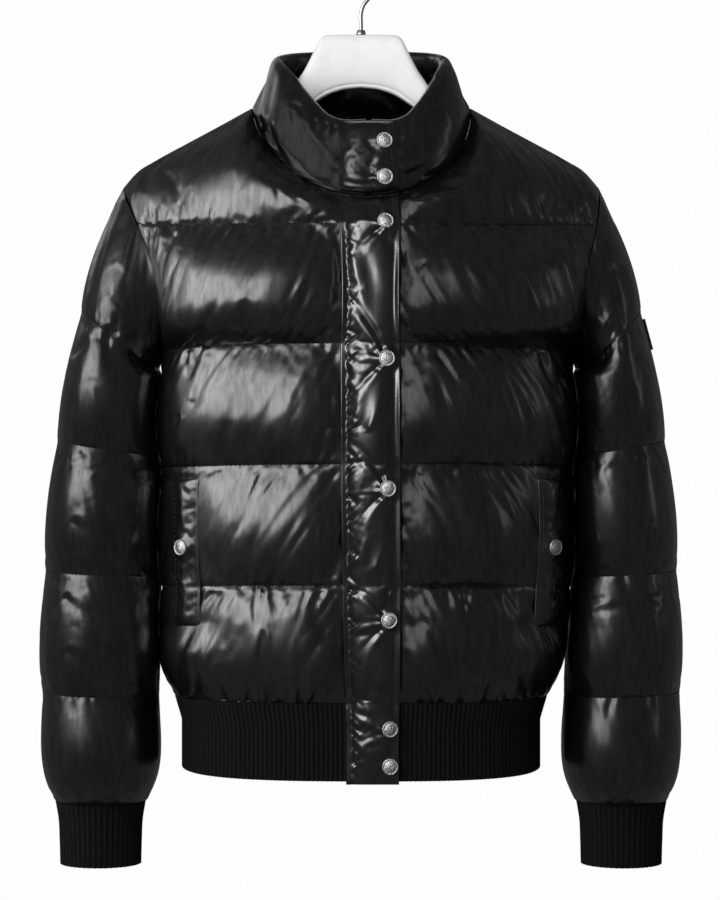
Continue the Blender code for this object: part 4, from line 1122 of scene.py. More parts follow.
# %% Places of the press studs
FLAP_STUDS = tuple("snap_%d" % k for k in range(1, 9))
WELT_STUDS = ("pocket_snap_right", "pocket_snap_left")


def stud_place(name):
    """The middle of a stud's foot and its axis, read from its solid, in millimetres."""
    solid = bpy.data.objects[name]
    points = np.array([solid.matrix_world @ v.co for v in solid.data.vertices]) / MM
    middle = points.mean(axis=0)
    axis = np.linalg.eigh(np.cov((points - middle).T))[1][:, 0]
    axis = axis if axis[1] < 0 else -axis
    height = (points - middle) @ axis
    return middle + axis * height.min(), axis


STUDS = {name: stud_place(name) for name in FLAP_STUDS + WELT_STUDS}
print("studs", {name: [round(float(v), 1) for v in place] for name, (place, _) in STUDS.items()})

# %% A padded strip
EDGE_HEIGHT = 2.5
EDGE_STEPS = ((0.0, 0.0), (0.0, 1.0), (0.25, 1.9), (0.8, 2.44), (1.9, EDGE_HEIGHT))   # inset, height
LAY_GAP = 0.4
STRIP_ROOM = 1.2
STRIP_COLUMNS = 25
STUD_FOOT, STUD_PULL, STUD_DEPTH = 5.2, 16.0, 14.0


def drawn_to_studs(points, pins, studs):
    """Draws the cloth round each stud down to the stud's foot, and pins it there."""
    for name in studs:
        foot, axis = STUDS[name]
        off = points - foot
        high = off @ axis
        across = np.linalg.norm(off - high[..., None] * axis, axis=-1)
        share = 1 - ease(STUD_FOOT, STUD_PULL, across)
        here = np.abs(high) < STUD_DEPTH
        points -= axis * ((high - 0.2) * share * share * here)[..., None]
        pins |= (across < STUD_FOOT) & here


def sew_strip(name, base, out, middle, studs, band, seam=None, spare=0.012, edge=2.2):
    """A padded strip on a base of points. It is thin at its sewn edge, flat on the band beside
    it, and rises to its middle from there. A cross seam is given by its row and its depth."""
    rows, columns = base.shape[:2]
    wide = float(spans(base, 1).sum(axis=1).mean())
    tall = spans(base).sum(axis=0).mean()
    edge_at = [inset / wide for inset, _ in EDGE_STEPS]
    inside = np.linspace(edge_at[-1], 1 - edge_at[-1], columns)[1:-1]
    across = np.concatenate((edge_at, inside, 1 - np.array(edge_at[::-1])))
    down = np.linspace(0, 1, rows)
    rise = [height * edge / EDGE_HEIGHT for _, height in EDGE_STEPS]
    low = np.array(rise + [edge] * len(inside) + rise[::-1])
    padded = np.clip((across - band / wide) / (1 - 2 * band / wide), 0, 1)
    bulge = np.sin(np.pi * padded) ** 0.6 * np.clip(np.sin(np.pi * down) * 6, 0, 1)[:, None]
    ends = np.minimum(down, 1 - down)[:, None] * tall
    height = (low + (middle - edge) * CUT_RISE * bulge) * np.clip(0.35 + ends / 2.0, 0, 1) + LAY_GAP
    place = np.linspace(0, 1, columns)
    spread = np.array([on_line(row, place, across) for row in base])
    facing = unit(np.array([on_line(row, place, across) for row in out]))
    top = spread + facing * height[..., None]
    pins = np.zeros(height.shape, bool)
    pins[(0, -1), :] = True
    pins[:, (padded <= 0) | (padded >= 1)] = True
    if seam:
        near = np.exp(-((np.arange(rows) - seam[0]) / 1.6) ** 2)[:, None] * np.sin(np.pi * across) ** 0.5
        top -= facing * (seam[1] * near)[..., None]
        pins[seam[0]] = True
    drawn_to_studs(top, pins, studs)
    SKINS[name] = (spread + facing * LAY_GAP, facing)
    sew(name, top, pins, STRIP_ROOM * np.clip(bulge * 1.3, 0.05, 1), facing, 2.5, spare, 0.06)


def resampled(rows, count=STRIP_COLUMNS):
    return np.array([even(row, count) for row in rows])


# %% [markdown]
# The flap lies on the fronts and, below them, on the hem band, so its base is made of their
# rows. Its upper part lies on the collar's section, and each welt on a strip of its front.

# %% The flap, its upper part and the pocket welts
HEM = {"right_x": -165.5, "left_x": 165.5, "front": 100.0, "back": 93.0, "z": -762.0}
HEM_SIDE_RISE, RIB_HEIGHT = 6.0, 0.7
FLAP_END = -764.5
FLAP_THICKNESS, COLLAR_FLAP_THICKNESS, WELT_THICKNESS = 7.5, 6.0, 3.6
FLAP_ROWS, FLAP_HEM_ROWS, COLLAR_FLAP_ROWS = (32, 44, 44, 44, 42), 30, 32
WELT_EDGES = (0.62, 0.745)
WELT_EDGE, WELT_CROWN = 1.5, 1.5
FORWARD = np.array((0.0, -1.0, 0.0))


def hem_ring(side, level, column, face="front"):
    """One side of the hem band's smooth skin, through all columns."""
    top = body_ring(side, face, SEAMS_Z[-1], column)
    middle = centre_x(face, SEAMS_Z[-1])
    across, deep = quarter(abs(HEM[side + "_x"] - middle), HEM[face], column)
    low = points_of(middle + SIDES[side] * across, -FACES[face] * deep, HEM["z"])
    share = (SEAMS_Z[-1] - level) / (SEAMS_Z[-1] - HEM["z"])
    ring = lerp(top, low, min(3 * share, 1.0))
    ring[:, 2] = level + HEM_SIDE_RISE * share * np.asarray(column, float) ** 4
    return ring


def across_opening(right, left):
    """One row over the opening: the wearer's right side, then the left side turned round."""
    return np.concatenate((right, left[::-1]))


def flap_base():
    """The fronts under the flap, and the hem band below them, row by row."""
    columns = np.linspace(FLAP_EDGE, OPENING_EDGE, 9)
    rows = []
    for channel, share in rows_of(FLAP_ROWS):
        rows.append(across_opening(*(
            body_row(side, "front", channel, share, columns)
            + FORWARD * front_height(side, channel, share, columns)[:, None] for side in SIDES
        )))
    for level in np.linspace(SEAMS_Z[-1] - 5, FLAP_END, FLAP_HEM_ROWS):
        row = across_opening(*(hem_ring(side, level, columns) for side in SIDES))
        rows.append(row + FORWARD * 1.5 * RIB_HEIGHT)
    rows[0] = lerp(rows[0], rows[1], 0.5)
    return resampled(rows)


def sew_flap():
    base = flap_base()
    out = normals_of(base, FORWARD)
    out[0] = out[1]
    sew_strip("storm_flap", base, out, FLAP_THICKNESS, FLAP_STUDS[2:], 6.0, seam=(3, 1.5))


def sew_collar_flap():
    start, end = (float(neck_angle("front", u)) for u in (OPENING_EDGE, FLAP_EDGE))
    angles = np.linspace(end, start, 9)
    lines = across_opening(*([collar_section(side, a) for a in angles] for side in SIDES))
    grid = lines[:, :6].transpose(1, 0, 2)[::-1].copy()
    grid[-1] = lerp(grid[-1], grid[-2], 0.3)
    rows = resampled(grid)
    base = resampled(rows.transpose(1, 0, 2), COLLAR_FLAP_ROWS).transpose(1, 0, 2)
    out = np.tile(unit(np.array((0.0, -1.0, 0.12))), (*base.shape[:2], 1))
    sew_strip("collar_flap", base, out, COLLAR_FLAP_THICKNESS, FLAP_STUDS[:2], 2.0, seam=(28, 1.0))


def sew_welts():
    columns = np.linspace(*WELT_EDGES, 5)
    places = [(3, k / 40) for k in range(4, 41)] + [(4, 0.34 * k / 12) for k in range(1, 13)]
    crown = WELT_CROWN * np.sin(np.pi * np.linspace(0, 1, 5))
    for side, stud in zip(SIDES, WELT_STUDS):
        skin = np.array([body_row(side, "front", c, s, columns) for c, s in places])
        height = np.array([front_height(side, c, s, columns) for c, s in places])
        normals = normals_of(skin, skin * (1, 1, 0))
        base = skin + normals * height[..., None] + normals * crown[None, :, None]
        flat, out = resampled(base, 15)[:, ::SIDES[side]], resampled(normals, 15)[:, ::SIDES[side]]
        sew_strip(
            "pocket_welt_" + side, flat, unit(out), WELT_THICKNESS, (stud,), 3.4, spare=0.02,
            edge=WELT_EDGE,
        )


sew_flap()
sew_collar_flap()
sew_welts()
blow_up()
print("all padded pieces are blown up")

# %% [markdown]
# The solver gives the fine puckers. The main creases are laid in as troughs along short
# lines: below the armholes, beside the flap, above the hem and across the elbows.

# %% Puckers and streaks
PUCKER_SPACING, PUCKER_REACH, PUCKER_DEPTH, PUCKER_WIDTH = 8.0, 0.6, 1.1, (1.8, 4.0)
STREAK_SPACING, STREAK_DEPTH, STREAK_WIDTH = 7.0, 0.9, (2.6, 5.2)


def fold(place, lift, at, lean, width, depth, first, last):
    """A trough from first to last down the cloth, widening and dying out on its way."""
    reach = 5 * width + abs(lean * (last - first))
    near = slice(*np.searchsorted(place[:, 0], (at - reach, at + reach)))
    across, down = place[near].T
    along = (down - first) / (last - first)
    on = (along > 0) & (along < 1)
    along = np.clip(along, 0, 1)
    off = across - at - lean * (down - first)
    trough = np.exp(-(off / (width * (1 + 1.3 * along))) ** 2)
    ridge = np.exp(-((off - 2.0 * width) / (width * 1.2)) ** 2)
    lift[near] += depth * (0.55 * ridge - trough) * on * np.clip(along * 8, 0, 1) * (1 - along) ** 1.2


def puckers(place, lift, seams, rng, lean):
    """Short folds that run out of each quilting seam, above it and below it."""
    for k, seam in enumerate(seams):
        for other in seams[max(k - 1, 0):k + 2]:
            at = 0.0
            while at < place[-1, 0] and other != seam:
                at += PUCKER_SPACING * rng.uniform(0.45, 1.55)
                span = (other - seam) * PUCKER_REACH * rng.uniform(0.25, 1.0)
                slope = lean + rng.uniform(-0.25, 0.25)
                width, depth = rng.uniform(*PUCKER_WIDTH), PUCKER_DEPTH * rng.uniform(0.25, 1.0)
                fold(place, lift, at, slope, width, depth, seam, seam + span)


def streaks_on(place, lift, seams, rng, lean):
    """Long shallow folds across the middle of each channel."""
    for top, bottom in zip(seams, seams[1:]):
        at = 0.0
        while at < place[-1, 0]:
            at += STREAK_SPACING * rng.uniform(0.3, 1.6)
            middle = top + (bottom - top) * rng.uniform(0.3, 0.75)
            long = (bottom - top) * rng.uniform(0.16, 0.36)
            slope = lean + rng.uniform(-0.2, 0.2)
            width = rng.uniform(*STREAK_WIDTH)
            rise = STREAK_DEPTH * rng.uniform(-1, 0.6)
            near = slice(*np.searchsorted(place[:, 0], (at - 60, at + 60)))
            across, down = place[near].T
            inside = np.clip(np.sin(np.pi * np.clip((down - top) / (bottom - top), 0, 1)), 0, 1) ** 0.7
            off = across - at - slope * (down - middle)
            lift[near] += rise * inside * np.exp(-(off / width) ** 2 - ((down - middle) / long) ** 2)


# %% Wrinkles of a whole piece
QUILTED = {     # the rows of its channels, the seed of its wrinkles, their lean and their strength
    "front_right": (CHANNEL_STEPS, 11, 0.5, 1.35), "front_left": (CHANNEL_STEPS, 12, 0.5, 1.3),
    "back": (CHANNEL_STEPS, 13, 0.1, 1.2),
    "sleeve_right": (SLEEVE_STEPS, 14, 0.25, 0.4), "sleeve_left": (SLEEVE_STEPS, 15, -0.25, 0.4),
}
FLAP_SEED, FLAP_LINE = 21, 0.11     # where the flap's short folds start, as a share of its width
FLAP_SPACING, FLAP_LONG, FLAP_WIDTH, FLAP_DEPTH = 6.5, 14.0, 1.8, 1.3


def wrinkled(name, mesh):
    """Puckers and streaks all over a quilted piece, less towards its sides."""
    _, seed, lean, strength = QUILTED[name]
    rng = np.random.default_rng(seed)
    place = map_of(mesh)
    order = np.argsort(place[:, 0], kind="stable")
    lift, found = np.zeros(len(place)), np.zeros(len(place))
    puckers(place[order], lift, SEAM_PLACES[name], rng, lean)
    streaks_on(place[order], lift, SEAM_PLACES[name], rng, lean)
    found[order] = lift * strength
    found *= ease(0.5, 6.0, place[:, 0]) * ease(0.5, 6.0, place[:, 0].max() - place[:, 0])
    moved_along(mesh, found)


def edge_puckered(mesh):
    """Short folds that zigzag along the flap's sewn edge, which runs down the cloth."""
    rng = np.random.default_rng(FLAP_SEED)
    place = map_of(mesh)
    order = np.argsort(place[:, 1], kind="stable")
    swapped, line = place[order][:, ::-1], place[:, 0].max() * FLAP_LINE
    lift, found, at = np.zeros(len(place)), np.zeros(len(place)), 0.0
    while at < swapped[-1, 0]:
        at += FLAP_SPACING * rng.uniform(0.6, 1.4)
        lean = rng.choice((-1, 1)) * rng.uniform(0.4, 1.1)
        width, depth = FLAP_WIDTH * rng.uniform(0.7, 1.3), FLAP_DEPTH * rng.uniform(0.4, 1)
        fold(swapped, lift, at, lean, width, depth, line, line + FLAP_LONG * rng.uniform(0.6, 1.4))
    found[order] = lift
    moved_along(mesh, found)


# %% [markdown]
# The larger creases have their own table: from a point to a point in millimetres, seen from
# the front, then the width and the depth. A negative depth raises a ridge. The sleeves share
# most of theirs, turned round, and the back gets the fronts' outer ones, turned round too.

# %% Creases laid in from a table
def mirrored(lines):
    return [(-x0, z0, -x1, z1, width, depth) for x0, z0, x1, z1, width, depth in lines]


BOTH_SLEEVES = (
    (214.2, -230.9, 199.8, -316.7, 13.0, -4.5),
    (228.7, -355.6, 214.2, -417.1, 5.0, 3.4),
    (241.4, -357.4, 252.2, -447.8, 9.0, -3.0),
    (254.0, -467.7, 246.8, -503.9, 2.8, 1.8),
    (261.3, -529.2, 245.0, -540.0, 2.8, 1.8),
    (266.7, -646.7, 243.2, -659.4, 3.0, 1.8),
    (263.1, -688.3, 259.4, -706.4, 2.2, 1.6),
    (250.4, -784.1, 255.8, -757.0, 3.0, 2.4),
    (230.5, -785.0, 228.7, -755.2, 3.0, 2.2),
    (212.4, -785.0, 216.1, -753.4, 3.0, 2.4),
    (196.2, -782.3, 198.0, -760.6, 2.6, 1.8),
)
CREASES = {
    "front_right": (
        (-167.1, -270.3, -180.5, -308.5, 3.2, 2.6),
        (-195.6, -247.2, -190.2, -266.8, 2.4, 1.2),
        (-189.4, -246.3, -184.9, -265.0, 2.4, 1.2),
        (-164.5, -241.9, -167.1, -262.3, 2.4, 1.3),
        (-134.2, -247.2, -136.0, -262.3, 2.2, 1.2),
        (-54.2, -224.3, -23.0, -243.8, 2.4, -1.6),
        (-41.0, -221.3, -21.4, -232.6, 2.0, -1.4),
        (-62.0, -234.0, -34.0, -250.0, 2.4, -1.2),
        (-75.6, -231.2, -68.5, -252.5, 3.0, 1.6),
        (-61.3, -233.0, -48.9, -249.0, 3.0, 1.3),
        (-143.1, -372.6, -153.8, -401.9, 3.0, 2.4),
        (-157.4, -377.0, -155.6, -401.9, 2.6, 2.0),
        (-152.0, -425.0, -139.6, -417.9, 3.6, 1.0),
        (-27.6, -444.6, -40.9, -465.9, 3.0, 1.6),
        (-27.6, -357.4, -34.7, -369.9, 2.6, 1.5),
        (-32.9, -372.6, -26.7, -384.1, 2.6, 1.5),
        (-164.5, -434.8, -169.8, -461.5, 2.6, 1.2),
        (-93.3, -588.6, -91.6, -625.9, 2.4, 2.8),
        (-87.1, -588.6, -86.2, -621.5, 2.2, 2.2),
        (-88.0, -627.7, -81.8, -679.3, 3.0, 1.6),
        (-154.7, -693.5, -148.5, -666.8, 3.0, 2.4),
        (-102.2, -694.4, -96.9, -659.7, 3.0, 2.6),
        (-82.7, -694.4, -85.3, -663.3, 2.8, 2.2),
        (-56.0, -694.4, -53.3, -656.1, 3.0, 2.8),
        (-45.3, -694.4, -35.6, -663.3, 2.8, 2.2),
        (-123.6, -694.4, -127.1, -674.8, 2.6, 1.8),
    ),
    "front_left": (
        (38.2, -234.8, 59.6, -209.9, 3.2, 2.0),
        (45.3, -240.1, 70.2, -222.3, 3.0, 1.6),
        (176.9, -263.2, 169.8, -298.8, 3.0, 2.0),
        (164.5, -266.8, 162.7, -288.1, 2.6, 1.3),
        (52.5, -694.4, 47.1, -659.7, 3.0, 2.6),
        (88.0, -694.4, 83.6, -665.0, 2.8, 2.2),
        (110.2, -694.4, 118.2, -657.9, 3.0, 2.6),
        (150.2, -694.4, 144.0, -668.6, 2.8, 2.2),
        (70.2, -694.4, 72.9, -673.9, 2.6, 1.8),
        (130.7, -694.4, 128.9, -673.9, 2.6, 1.8),
        (163.6, -378.8, 170.7, -405.4, 2.8, 2.0),
        (48.0, -372.6, 42.7, -387.7, 2.6, 1.4),
        (56.0, -298.8, 40.0, -323.7, 2.6, 1.2),
        (45.3, -403.7, 61.3, -437.5, 2.8, 1.3),
        (96.9, -590.4, 89.8, -618.8, 2.6, 1.5),
        (48.0, -483.7, 53.3, -510.3, 2.6, 1.4),
    ),
    "sleeve_right": (
        *mirrored(BOTH_SLEEVES),
        (-217.9, -361.0, -201.6, -402.6, 6.0, -3.0),
        (-219.7, -395.4, -203.4, -391.8, 2.2, 1.2),
        (-268.5, -597.9, -245.0, -614.2, 3.4, 2.4),
        (-264.9, -565.3, -248.6, -576.2, 2.6, 1.6),
        (-254.0, -688.3, -252.2, -702.7, 2.2, 1.6),
        (-245.0, -688.3, -242.3, -704.6, 2.2, 1.6),
    ),
    "sleeve_left": (
        *BOTH_SLEEVES,
        (270.3, -597.9, 245.0, -614.2, 3.4, 2.4),
        (237.8, -576.2, 246.8, -605.1, 2.6, 2.2),
        (252.2, -688.3, 250.4, -702.7, 2.2, 1.6),
        (243.2, -688.3, 241.4, -704.6, 2.2, 1.6),
        (226.9, -688.3, 221.5, -728.1, 2.6, 1.6),
    ),
    "storm_flap": (
        (23.0, -384.5, -13.3, -328.7, 2.4, 2.0),
        (22.1, -383.6, -9.7, -377.4, 2.0, 1.0),
        (22.1, -386.2, -8.0, -419.9, 2.2, 1.2),
        (-8.0, -290.7, 20.4, -366.8, 6.0, -1.3),
        (-9.7, -450.0, -2.7, -407.5, 4.0, -1.0),
        (6.2, -448.2, 17.7, -402.2, 4.0, -1.1),
        (23.0, -263.2, -9.7, -258.8, 2.0, 0.9),
        (23.0, -264.1, -8.0, -294.2, 2.4, 1.4),
        (23.9, -265.9, 27.4, -288.9, 2.0, 0.8),
        (23.0, -499.5, -10.6, -457.0, 2.4, 1.4),
        (23.0, -500.4, -8.0, -503.1, 2.0, 1.0),
        (23.0, -502.2, -7.1, -536.7, 2.4, 1.4),
        (-8.0, -567.7, 9.7, -523.4, 5.0, -1.0),
        (11.5, -572.1, 22.1, -527.9, 4.0, -0.9),
        (27.4, -470.3, 25.7, -490.7, 2.0, 0.9),
        (23.9, -617.2, -9.7, -582.7, 2.4, 1.4),
        (23.9, -618.1, -8.0, -621.7, 2.0, 1.0),
        (23.9, -619.9, -5.3, -653.5, 2.4, 1.4),
        (24.8, -589.8, 23.9, -609.3, 2.0, 0.9),
        (-8.0, -687.1, 6.2, -642.9, 4.5, -1.0),
        (13.3, -678.3, 22.1, -642.9, 3.5, -0.8),
        (24.8, -715.5, -9.7, -697.8, 2.2, 1.2),
        (24.8, -717.2, -8.0, -729.6, 2.0, 1.0),
        (-11.5, -477.4, 0.9, -476.5, 1.8, 1.0),
        (-11.5, -507.5, -0.9, -508.4, 1.8, 1.0),
        (-11.5, -589.8, 2.7, -590.7, 1.8, 1.0),
    ),
    "collar_flap": (
        (19.7, -189.9, -4.5, -198.9, 2.0, 0.5),
        (19.7, -221.3, -9.9, -215.0, 2.0, 0.7),
        (9.9, -213.2, 20.6, -198.9, 2.4, -0.8),
    ),
    "collar": (
        (-83.7, -170.7, -65.7, -208.5, 3.0, 2.4),
        (-88.2, -176.1, -72.9, -206.7, 2.0, -1.6),
        (-92.7, -161.7, -80.1, -195.9, 3.0, 1.6),
        (-54.9, -170.7, -33.3, -215.7, 4.0, 2.2),
        (-67.5, -158.1, -54.9, -195.9, 4.0, 1.6),
        (-44.1, -186.9, -24.3, -219.3, 3.0, 1.6),
        (-22.5, -172.5, -27.9, -186.9, 2.0, 2.0),
        (-30.6, -169.8, -35.1, -182.4, 2.0, 1.8),
        (-40.5, -167.1, -44.1, -177.9, 2.0, 1.6),
        (-54.9, -154.5, -65.7, -150.9, 2.0, 1.4),
        (38.7, -219.3, 83.7, -192.3, 4.0, 2.4),
        (38.7, -204.9, 74.7, -186.9, 4.0, 1.8),
        (38.7, -172.5, 34.2, -188.7, 2.0, 2.0),
        (45.9, -167.1, 40.5, -181.5, 2.0, 1.6),
        (62.1, -150.9, 81.9, -179.7, 4.0, 1.4),
        (56.7, -219.3, 90.9, -204.9, 3.0, 1.6),
        (-9.9, -150.9, -15.3, -159.9, 3.0, 2.0),
        (-8.1, -161.7, -0.9, -156.3, 2.4, 1.6),
        (-67.5, -123.9, -54.9, -136.5, 2.4, 1.6),
        (62.1, -116.7, 69.3, -132.9, 2.4, 1.6),
        (53.1, -120.3, 56.7, -136.5, 2.0, 1.4),
    ),
}


def hand_creased(mesh, lines, face=-1, strength=1.0, wider=1.0):
    """Sinks a trough along each line, with a ridge of spare cloth beside it."""
    co = co_of(mesh) / MM
    facing = ease(0.1, 0.4, normals_at(mesh)[:, 1] * face)
    lift = np.zeros(len(co))
    for x0, z0, x1, z1, width, depth in lines:
        start, end = np.array((x0, z0)), np.array((x1, z1))
        long = np.linalg.norm(end - start)
        way = (end - start) / long
        off = co[:, ::2] - start
        along = off @ way / long
        across = off @ np.array((-way[1], way[0])) + 0.06 * long * np.sin(np.pi * along)
        taper = np.clip((along + 0.06) * 9, 0, 1) * np.clip(1.1 - along, 0, 1) ** 0.9
        wide = wider * width * (0.8 + 0.9 * np.clip(along, 0, 1))
        trough = np.exp(-np.abs(across / wide) ** 1.6)
        ridge = np.exp(-((across - 1.9 * wide) / (1.1 * wide)) ** 2)
        lift += depth * (0.5 * ridge - trough) * taper * (along < 1.1)
    moved_along(mesh, lift * facing * strength)


# %% Finishing the padded pieces
LINING_STEPS, UNDERSIDE_STEPS = (4, 6), (3, 4)     # every so many rows and columns
BACK_CREASES_FROM = 80.0     # how far from the middle the fronts' creases are used on the back


def thinned(points, steps, closed=False):
    """Every few rows and columns of some points, and the last ones too."""
    picks = [np.arange(0, count, step) for count, step in zip(points.shape, steps)]
    ends = (True, not closed)
    down, across = (
        np.unique(np.append(pick, count - 1)) if end else pick
        for pick, count, end in zip(picks, points.shape, ends)
    )
    return points[down][:, across]


def finish_panel(name, closed=False):
    skin, normals = SKINS[name]
    creased(PUFFED[name], summed(QUILTED[name][0]))
    mesh = refined(PUFFED[name])
    wrinkled(name, mesh)
    if closed:
        for face in (-1, 1):
            hand_creased(mesh, CREASES[name], face, strength=0.55, wider=1.4)
        rested(name, mesh)
    elif name == "back":
        for side in SIDES:
            lines = [line for line in CREASES["front_" + side] if abs(line[0]) > BACK_CREASES_FROM]
            hand_creased(mesh, mirrored(lines), face=1)
    else:
        hand_creased(mesh, CREASES[name])
    lining = thinned(skin - normals * WALL, LINING_STEPS, closed)
    lined(mesh, grid_mesh(name + "_inner", lining, closed=closed))
    obj = show(name, mesh, nylon, (name,), smooth_angle=70)
    return obj


def finish_strip(name):
    mesh = refined(PUFFED[name])
    if name == "storm_flap":
        edge_puckered(mesh)
    if name in CREASES:
        hand_creased(mesh, CREASES[name])
    lined(mesh, grid_mesh(name + "_under", thinned(SKINS[name][0], UNDERSIDE_STEPS)))
    obj = show(name, mesh, nylon_flap, (name,), smooth_angle=70)
    return obj


def finish_collar():
    mesh = refined(PUFFED["collar"])
    hand_creased(mesh, CREASES["collar"])
    obj = show("collar", capped(mesh), nylon, ("collar",), smooth_angle=70)
    return obj


# %% [markdown]
# A hanging sleeve rests against the body, and no light shows between them. The body's reach
# is read at many levels, and the sleeve's inner side is eased towards it without passing it.

# %% Sleeves at rest against the body
REST_LEVELS = np.arange(-0.655, -0.388, 0.003)
REST_SOFTNESS = 0.004


def reach_at(co, way, levels):
    """How far a piece reaches sideways at each level, between its front and its back."""
    near = co[np.abs(co[:, 1] + 0.01) < 0.06]
    reach = np.full(len(levels), -np.inf)
    slot = np.round((near[:, 2] - levels[0]) / (levels[1] - levels[0])).astype(int)
    inside = (slot >= 0) & (slot < len(levels))
    np.maximum.at(reach, slot[inside], near[inside, 0] * way)
    found = np.isfinite(reach)
    return np.interp(levels, levels[found], reach[found])


def evened(values, reach, over):
    """The largest of each value's neighbours, then their mean, along a row of values."""
    wide = np.pad(values, reach, "edge")
    most = np.max([wide[k:k + len(values)] for k in range(2 * reach + 1)], axis=0)
    wide = np.pad(most, over, "edge")
    return np.mean([wide[k:k + len(values)] for k in range(2 * over + 1)], axis=0)


def rested(name, mesh):
    """Lets the inner side of a sleeve rest against the body, as the real one does."""
    way = 1.0 if name == "sleeve_right" else -1.0
    co = co_of(mesh)
    limit = -evened(reach_at(BODY_CORNERS, -way, REST_LEVELS), 2, 2)
    edge = evened(reach_at(co, way, REST_LEVELS), 0, 1)
    fade = ease(-0.76, -0.66, co[:, 2]) * ease(-0.383, -0.4, co[:, 2])
    reach = co[:, 0] * way
    inside = ease(-0.06, -0.004, reach - np.interp(co[:, 2], REST_LEVELS, edge)) * fade
    reach = reach + np.maximum(np.interp(co[:, 2], REST_LEVELS, limit - edge), 0) * inside
    room = np.maximum(np.interp(co[:, 2], REST_LEVELS, limit) - reach, 0)
    pressed = np.sqrt(room ** 2 + REST_SOFTNESS ** 2) - REST_SOFTNESS
    closing = inside * ease(-0.69, -0.66, co[:, 2])
    co[:, 0] = way * (reach + (room - pressed) * closing)
    move_to(mesh, co)


fronts = [finish_panel("front_" + side) for side in SIDES]
back = finish_panel("back")
BODY_CORNERS = np.concatenate([co_of(piece.data) for piece in (*fronts, back)])
sleeves = [finish_panel("sleeve_" + side, closed=True) for side in SIDES]
collar = finish_collar()
flaps = [finish_strip("storm_flap"), finish_strip("collar_flap")]
for side in SIDES:
    finish_strip("pocket_welt_" + side)
print("padded pieces done")

# %% [markdown]
# The hem band and the cuffs are knitted in upright ribs. Each rib is a wave in the width of
# the band, deep enough to catch the light, over a plain inside.

# %% Ribbed bands
RIB_POINTS = 6
HEM_RIBS, CUFF_RIBS = 204, 46
HEM_ROWS, CUFF_ROWS = 22, 24
HEM_COLUMNS = 60
CUFF = {
    "z": (-788.2, -796.0, -804.0, -825.0, -846.7),
    "half_width": (41.0, 39.6, 38.3, 37.2, 36.6),
    "half_depth": (40.0, 38.0, 36.5, 35.2, 34.5),
}
CUFF_MIDDLE = (240.0, -20.0)


def rib_wave(count):
    return RIB_HEIGHT * np.cos(2 * np.pi * np.arange(count) / RIB_POINTS)


def finish_band(name, outer, inner, closed):
    """A ribbed band over a plain inside, of which the first, middle and last row are enough."""
    inner = inner[[0, (len(inner) - 1) // 2 + closed, -1]]
    mesh = grid_mesh(name, outer, closed=closed)
    lined(mesh, grid_mesh(name + "_inner", inner, closed=closed))
    obj = show(name, mesh, knit, (name,), smooth_angle=75)


def make_hem():
    front, back = np.linspace(OPENING_EDGE, 1, HEM_COLUMNS), np.linspace(0, 1, HEM_COLUMNS)
    outer, inner = [], []
    for level in np.linspace(SEAMS_Z[-1] - 0.6, HEM["z"], HEM_ROWS):
        line = np.concatenate((
            hem_ring("right", level, front), hem_ring("right", level, back[::-1], "back")[1:],
            hem_ring("left", level, back, "back")[1:], hem_ring("left", level, front[::-1])[1:],
        ))
        length = summed(spans(line))
        spread = on_line(line, length, np.linspace(0, length[-1], HEM_RIBS * RIB_POINTS + 1))
        along = np.gradient(spread, axis=0)
        out = unit(points_of(along[:, 1], -along[:, 0], 0.0))
        out = out if np.sum(out * spread) > 0 else -out
        outer.append(spread + out * rib_wave(len(out))[:, None])
        inner.append((spread - out * WALL)[::2 * RIB_POINTS])
    finish_band("hem_rib", np.array(outer), np.array(inner), False)


def make_cuff(side):
    turn = np.linspace(0, 2 * math.pi, CUFF_RIBS * RIB_POINTS, endpoint=False)

    def oval(z, more):
        width, depth = (float(at_level(CUFF, key, z)) for key in ("half_width", "half_depth"))
        x = SIDES[side] * CUFF_MIDDLE[0] + (width + more) * np.cos(turn)
        return points_of(x, CUFF_MIDDLE[1] + (depth + more) * np.sin(turn), z)

    levels = np.linspace(CUFF["z"][0], CUFF["z"][-1], CUFF_ROWS)
    outer = np.array([oval(z, rib_wave(len(turn))) for z in levels])
    inner = np.array([oval(z, -WALL)[::RIB_POINTS] for z in levels])
    finish_band("cuff_" + side, outer, inner, True)


make_hem()
for side in SIDES:
    make_cuff(side)
print("ribbed bands done")

# %% [markdown]
# The stitches are short pieces of thread. They lie in the quilting seams, and along the edges
# of the flap and the welts. One stitch is made with operators: a rod of six sides, whose two
# ends are inset and pushed out. Its corners are then set down along each line of sewing.

# %% Stitches
STITCH_PITCH, STITCH_LENGTH, THREAD_RADIUS = 4.2, 2.7, 0.32
ROD_LENGTH, END_RADIUS = 0.72, 0.35     # shares of the stitch's length and of its radius


def stitch_shape():
    """A stitch along X, in millimetres: its corners and its faces."""
    bm = bmesh.new()
    bmesh.ops.create_cone(bm, cap_ends=True, segments=6, radius1=1.0, radius2=1.0, depth=ROD_LENGTH)
    bmesh.ops.inset_region(
        bm, faces=[face for face in bm.faces if len(face.verts) == 6], use_boundary=True,
        use_even_offset=True, thickness=(1 - END_RADIUS) * math.cos(math.pi / 6),
        depth=(1 - ROD_LENGTH) / 2,
    )
    bmesh.ops.rotate(bm, verts=bm.verts, cent=(0, 0, 0), matrix=Matrix.Rotation(math.pi / 2, 3, "Y"))
    bmesh.ops.recalc_face_normals(bm, faces=bm.faces)
    bm.verts.index_update()
    corners = np.array([vert.co for vert in bm.verts]) * (STITCH_LENGTH, THREAD_RADIUS, THREAD_RADIUS)
    faces = [[vert.index for vert in face.verts] for face in bm.faces]
    bm.free()
    return corners, faces


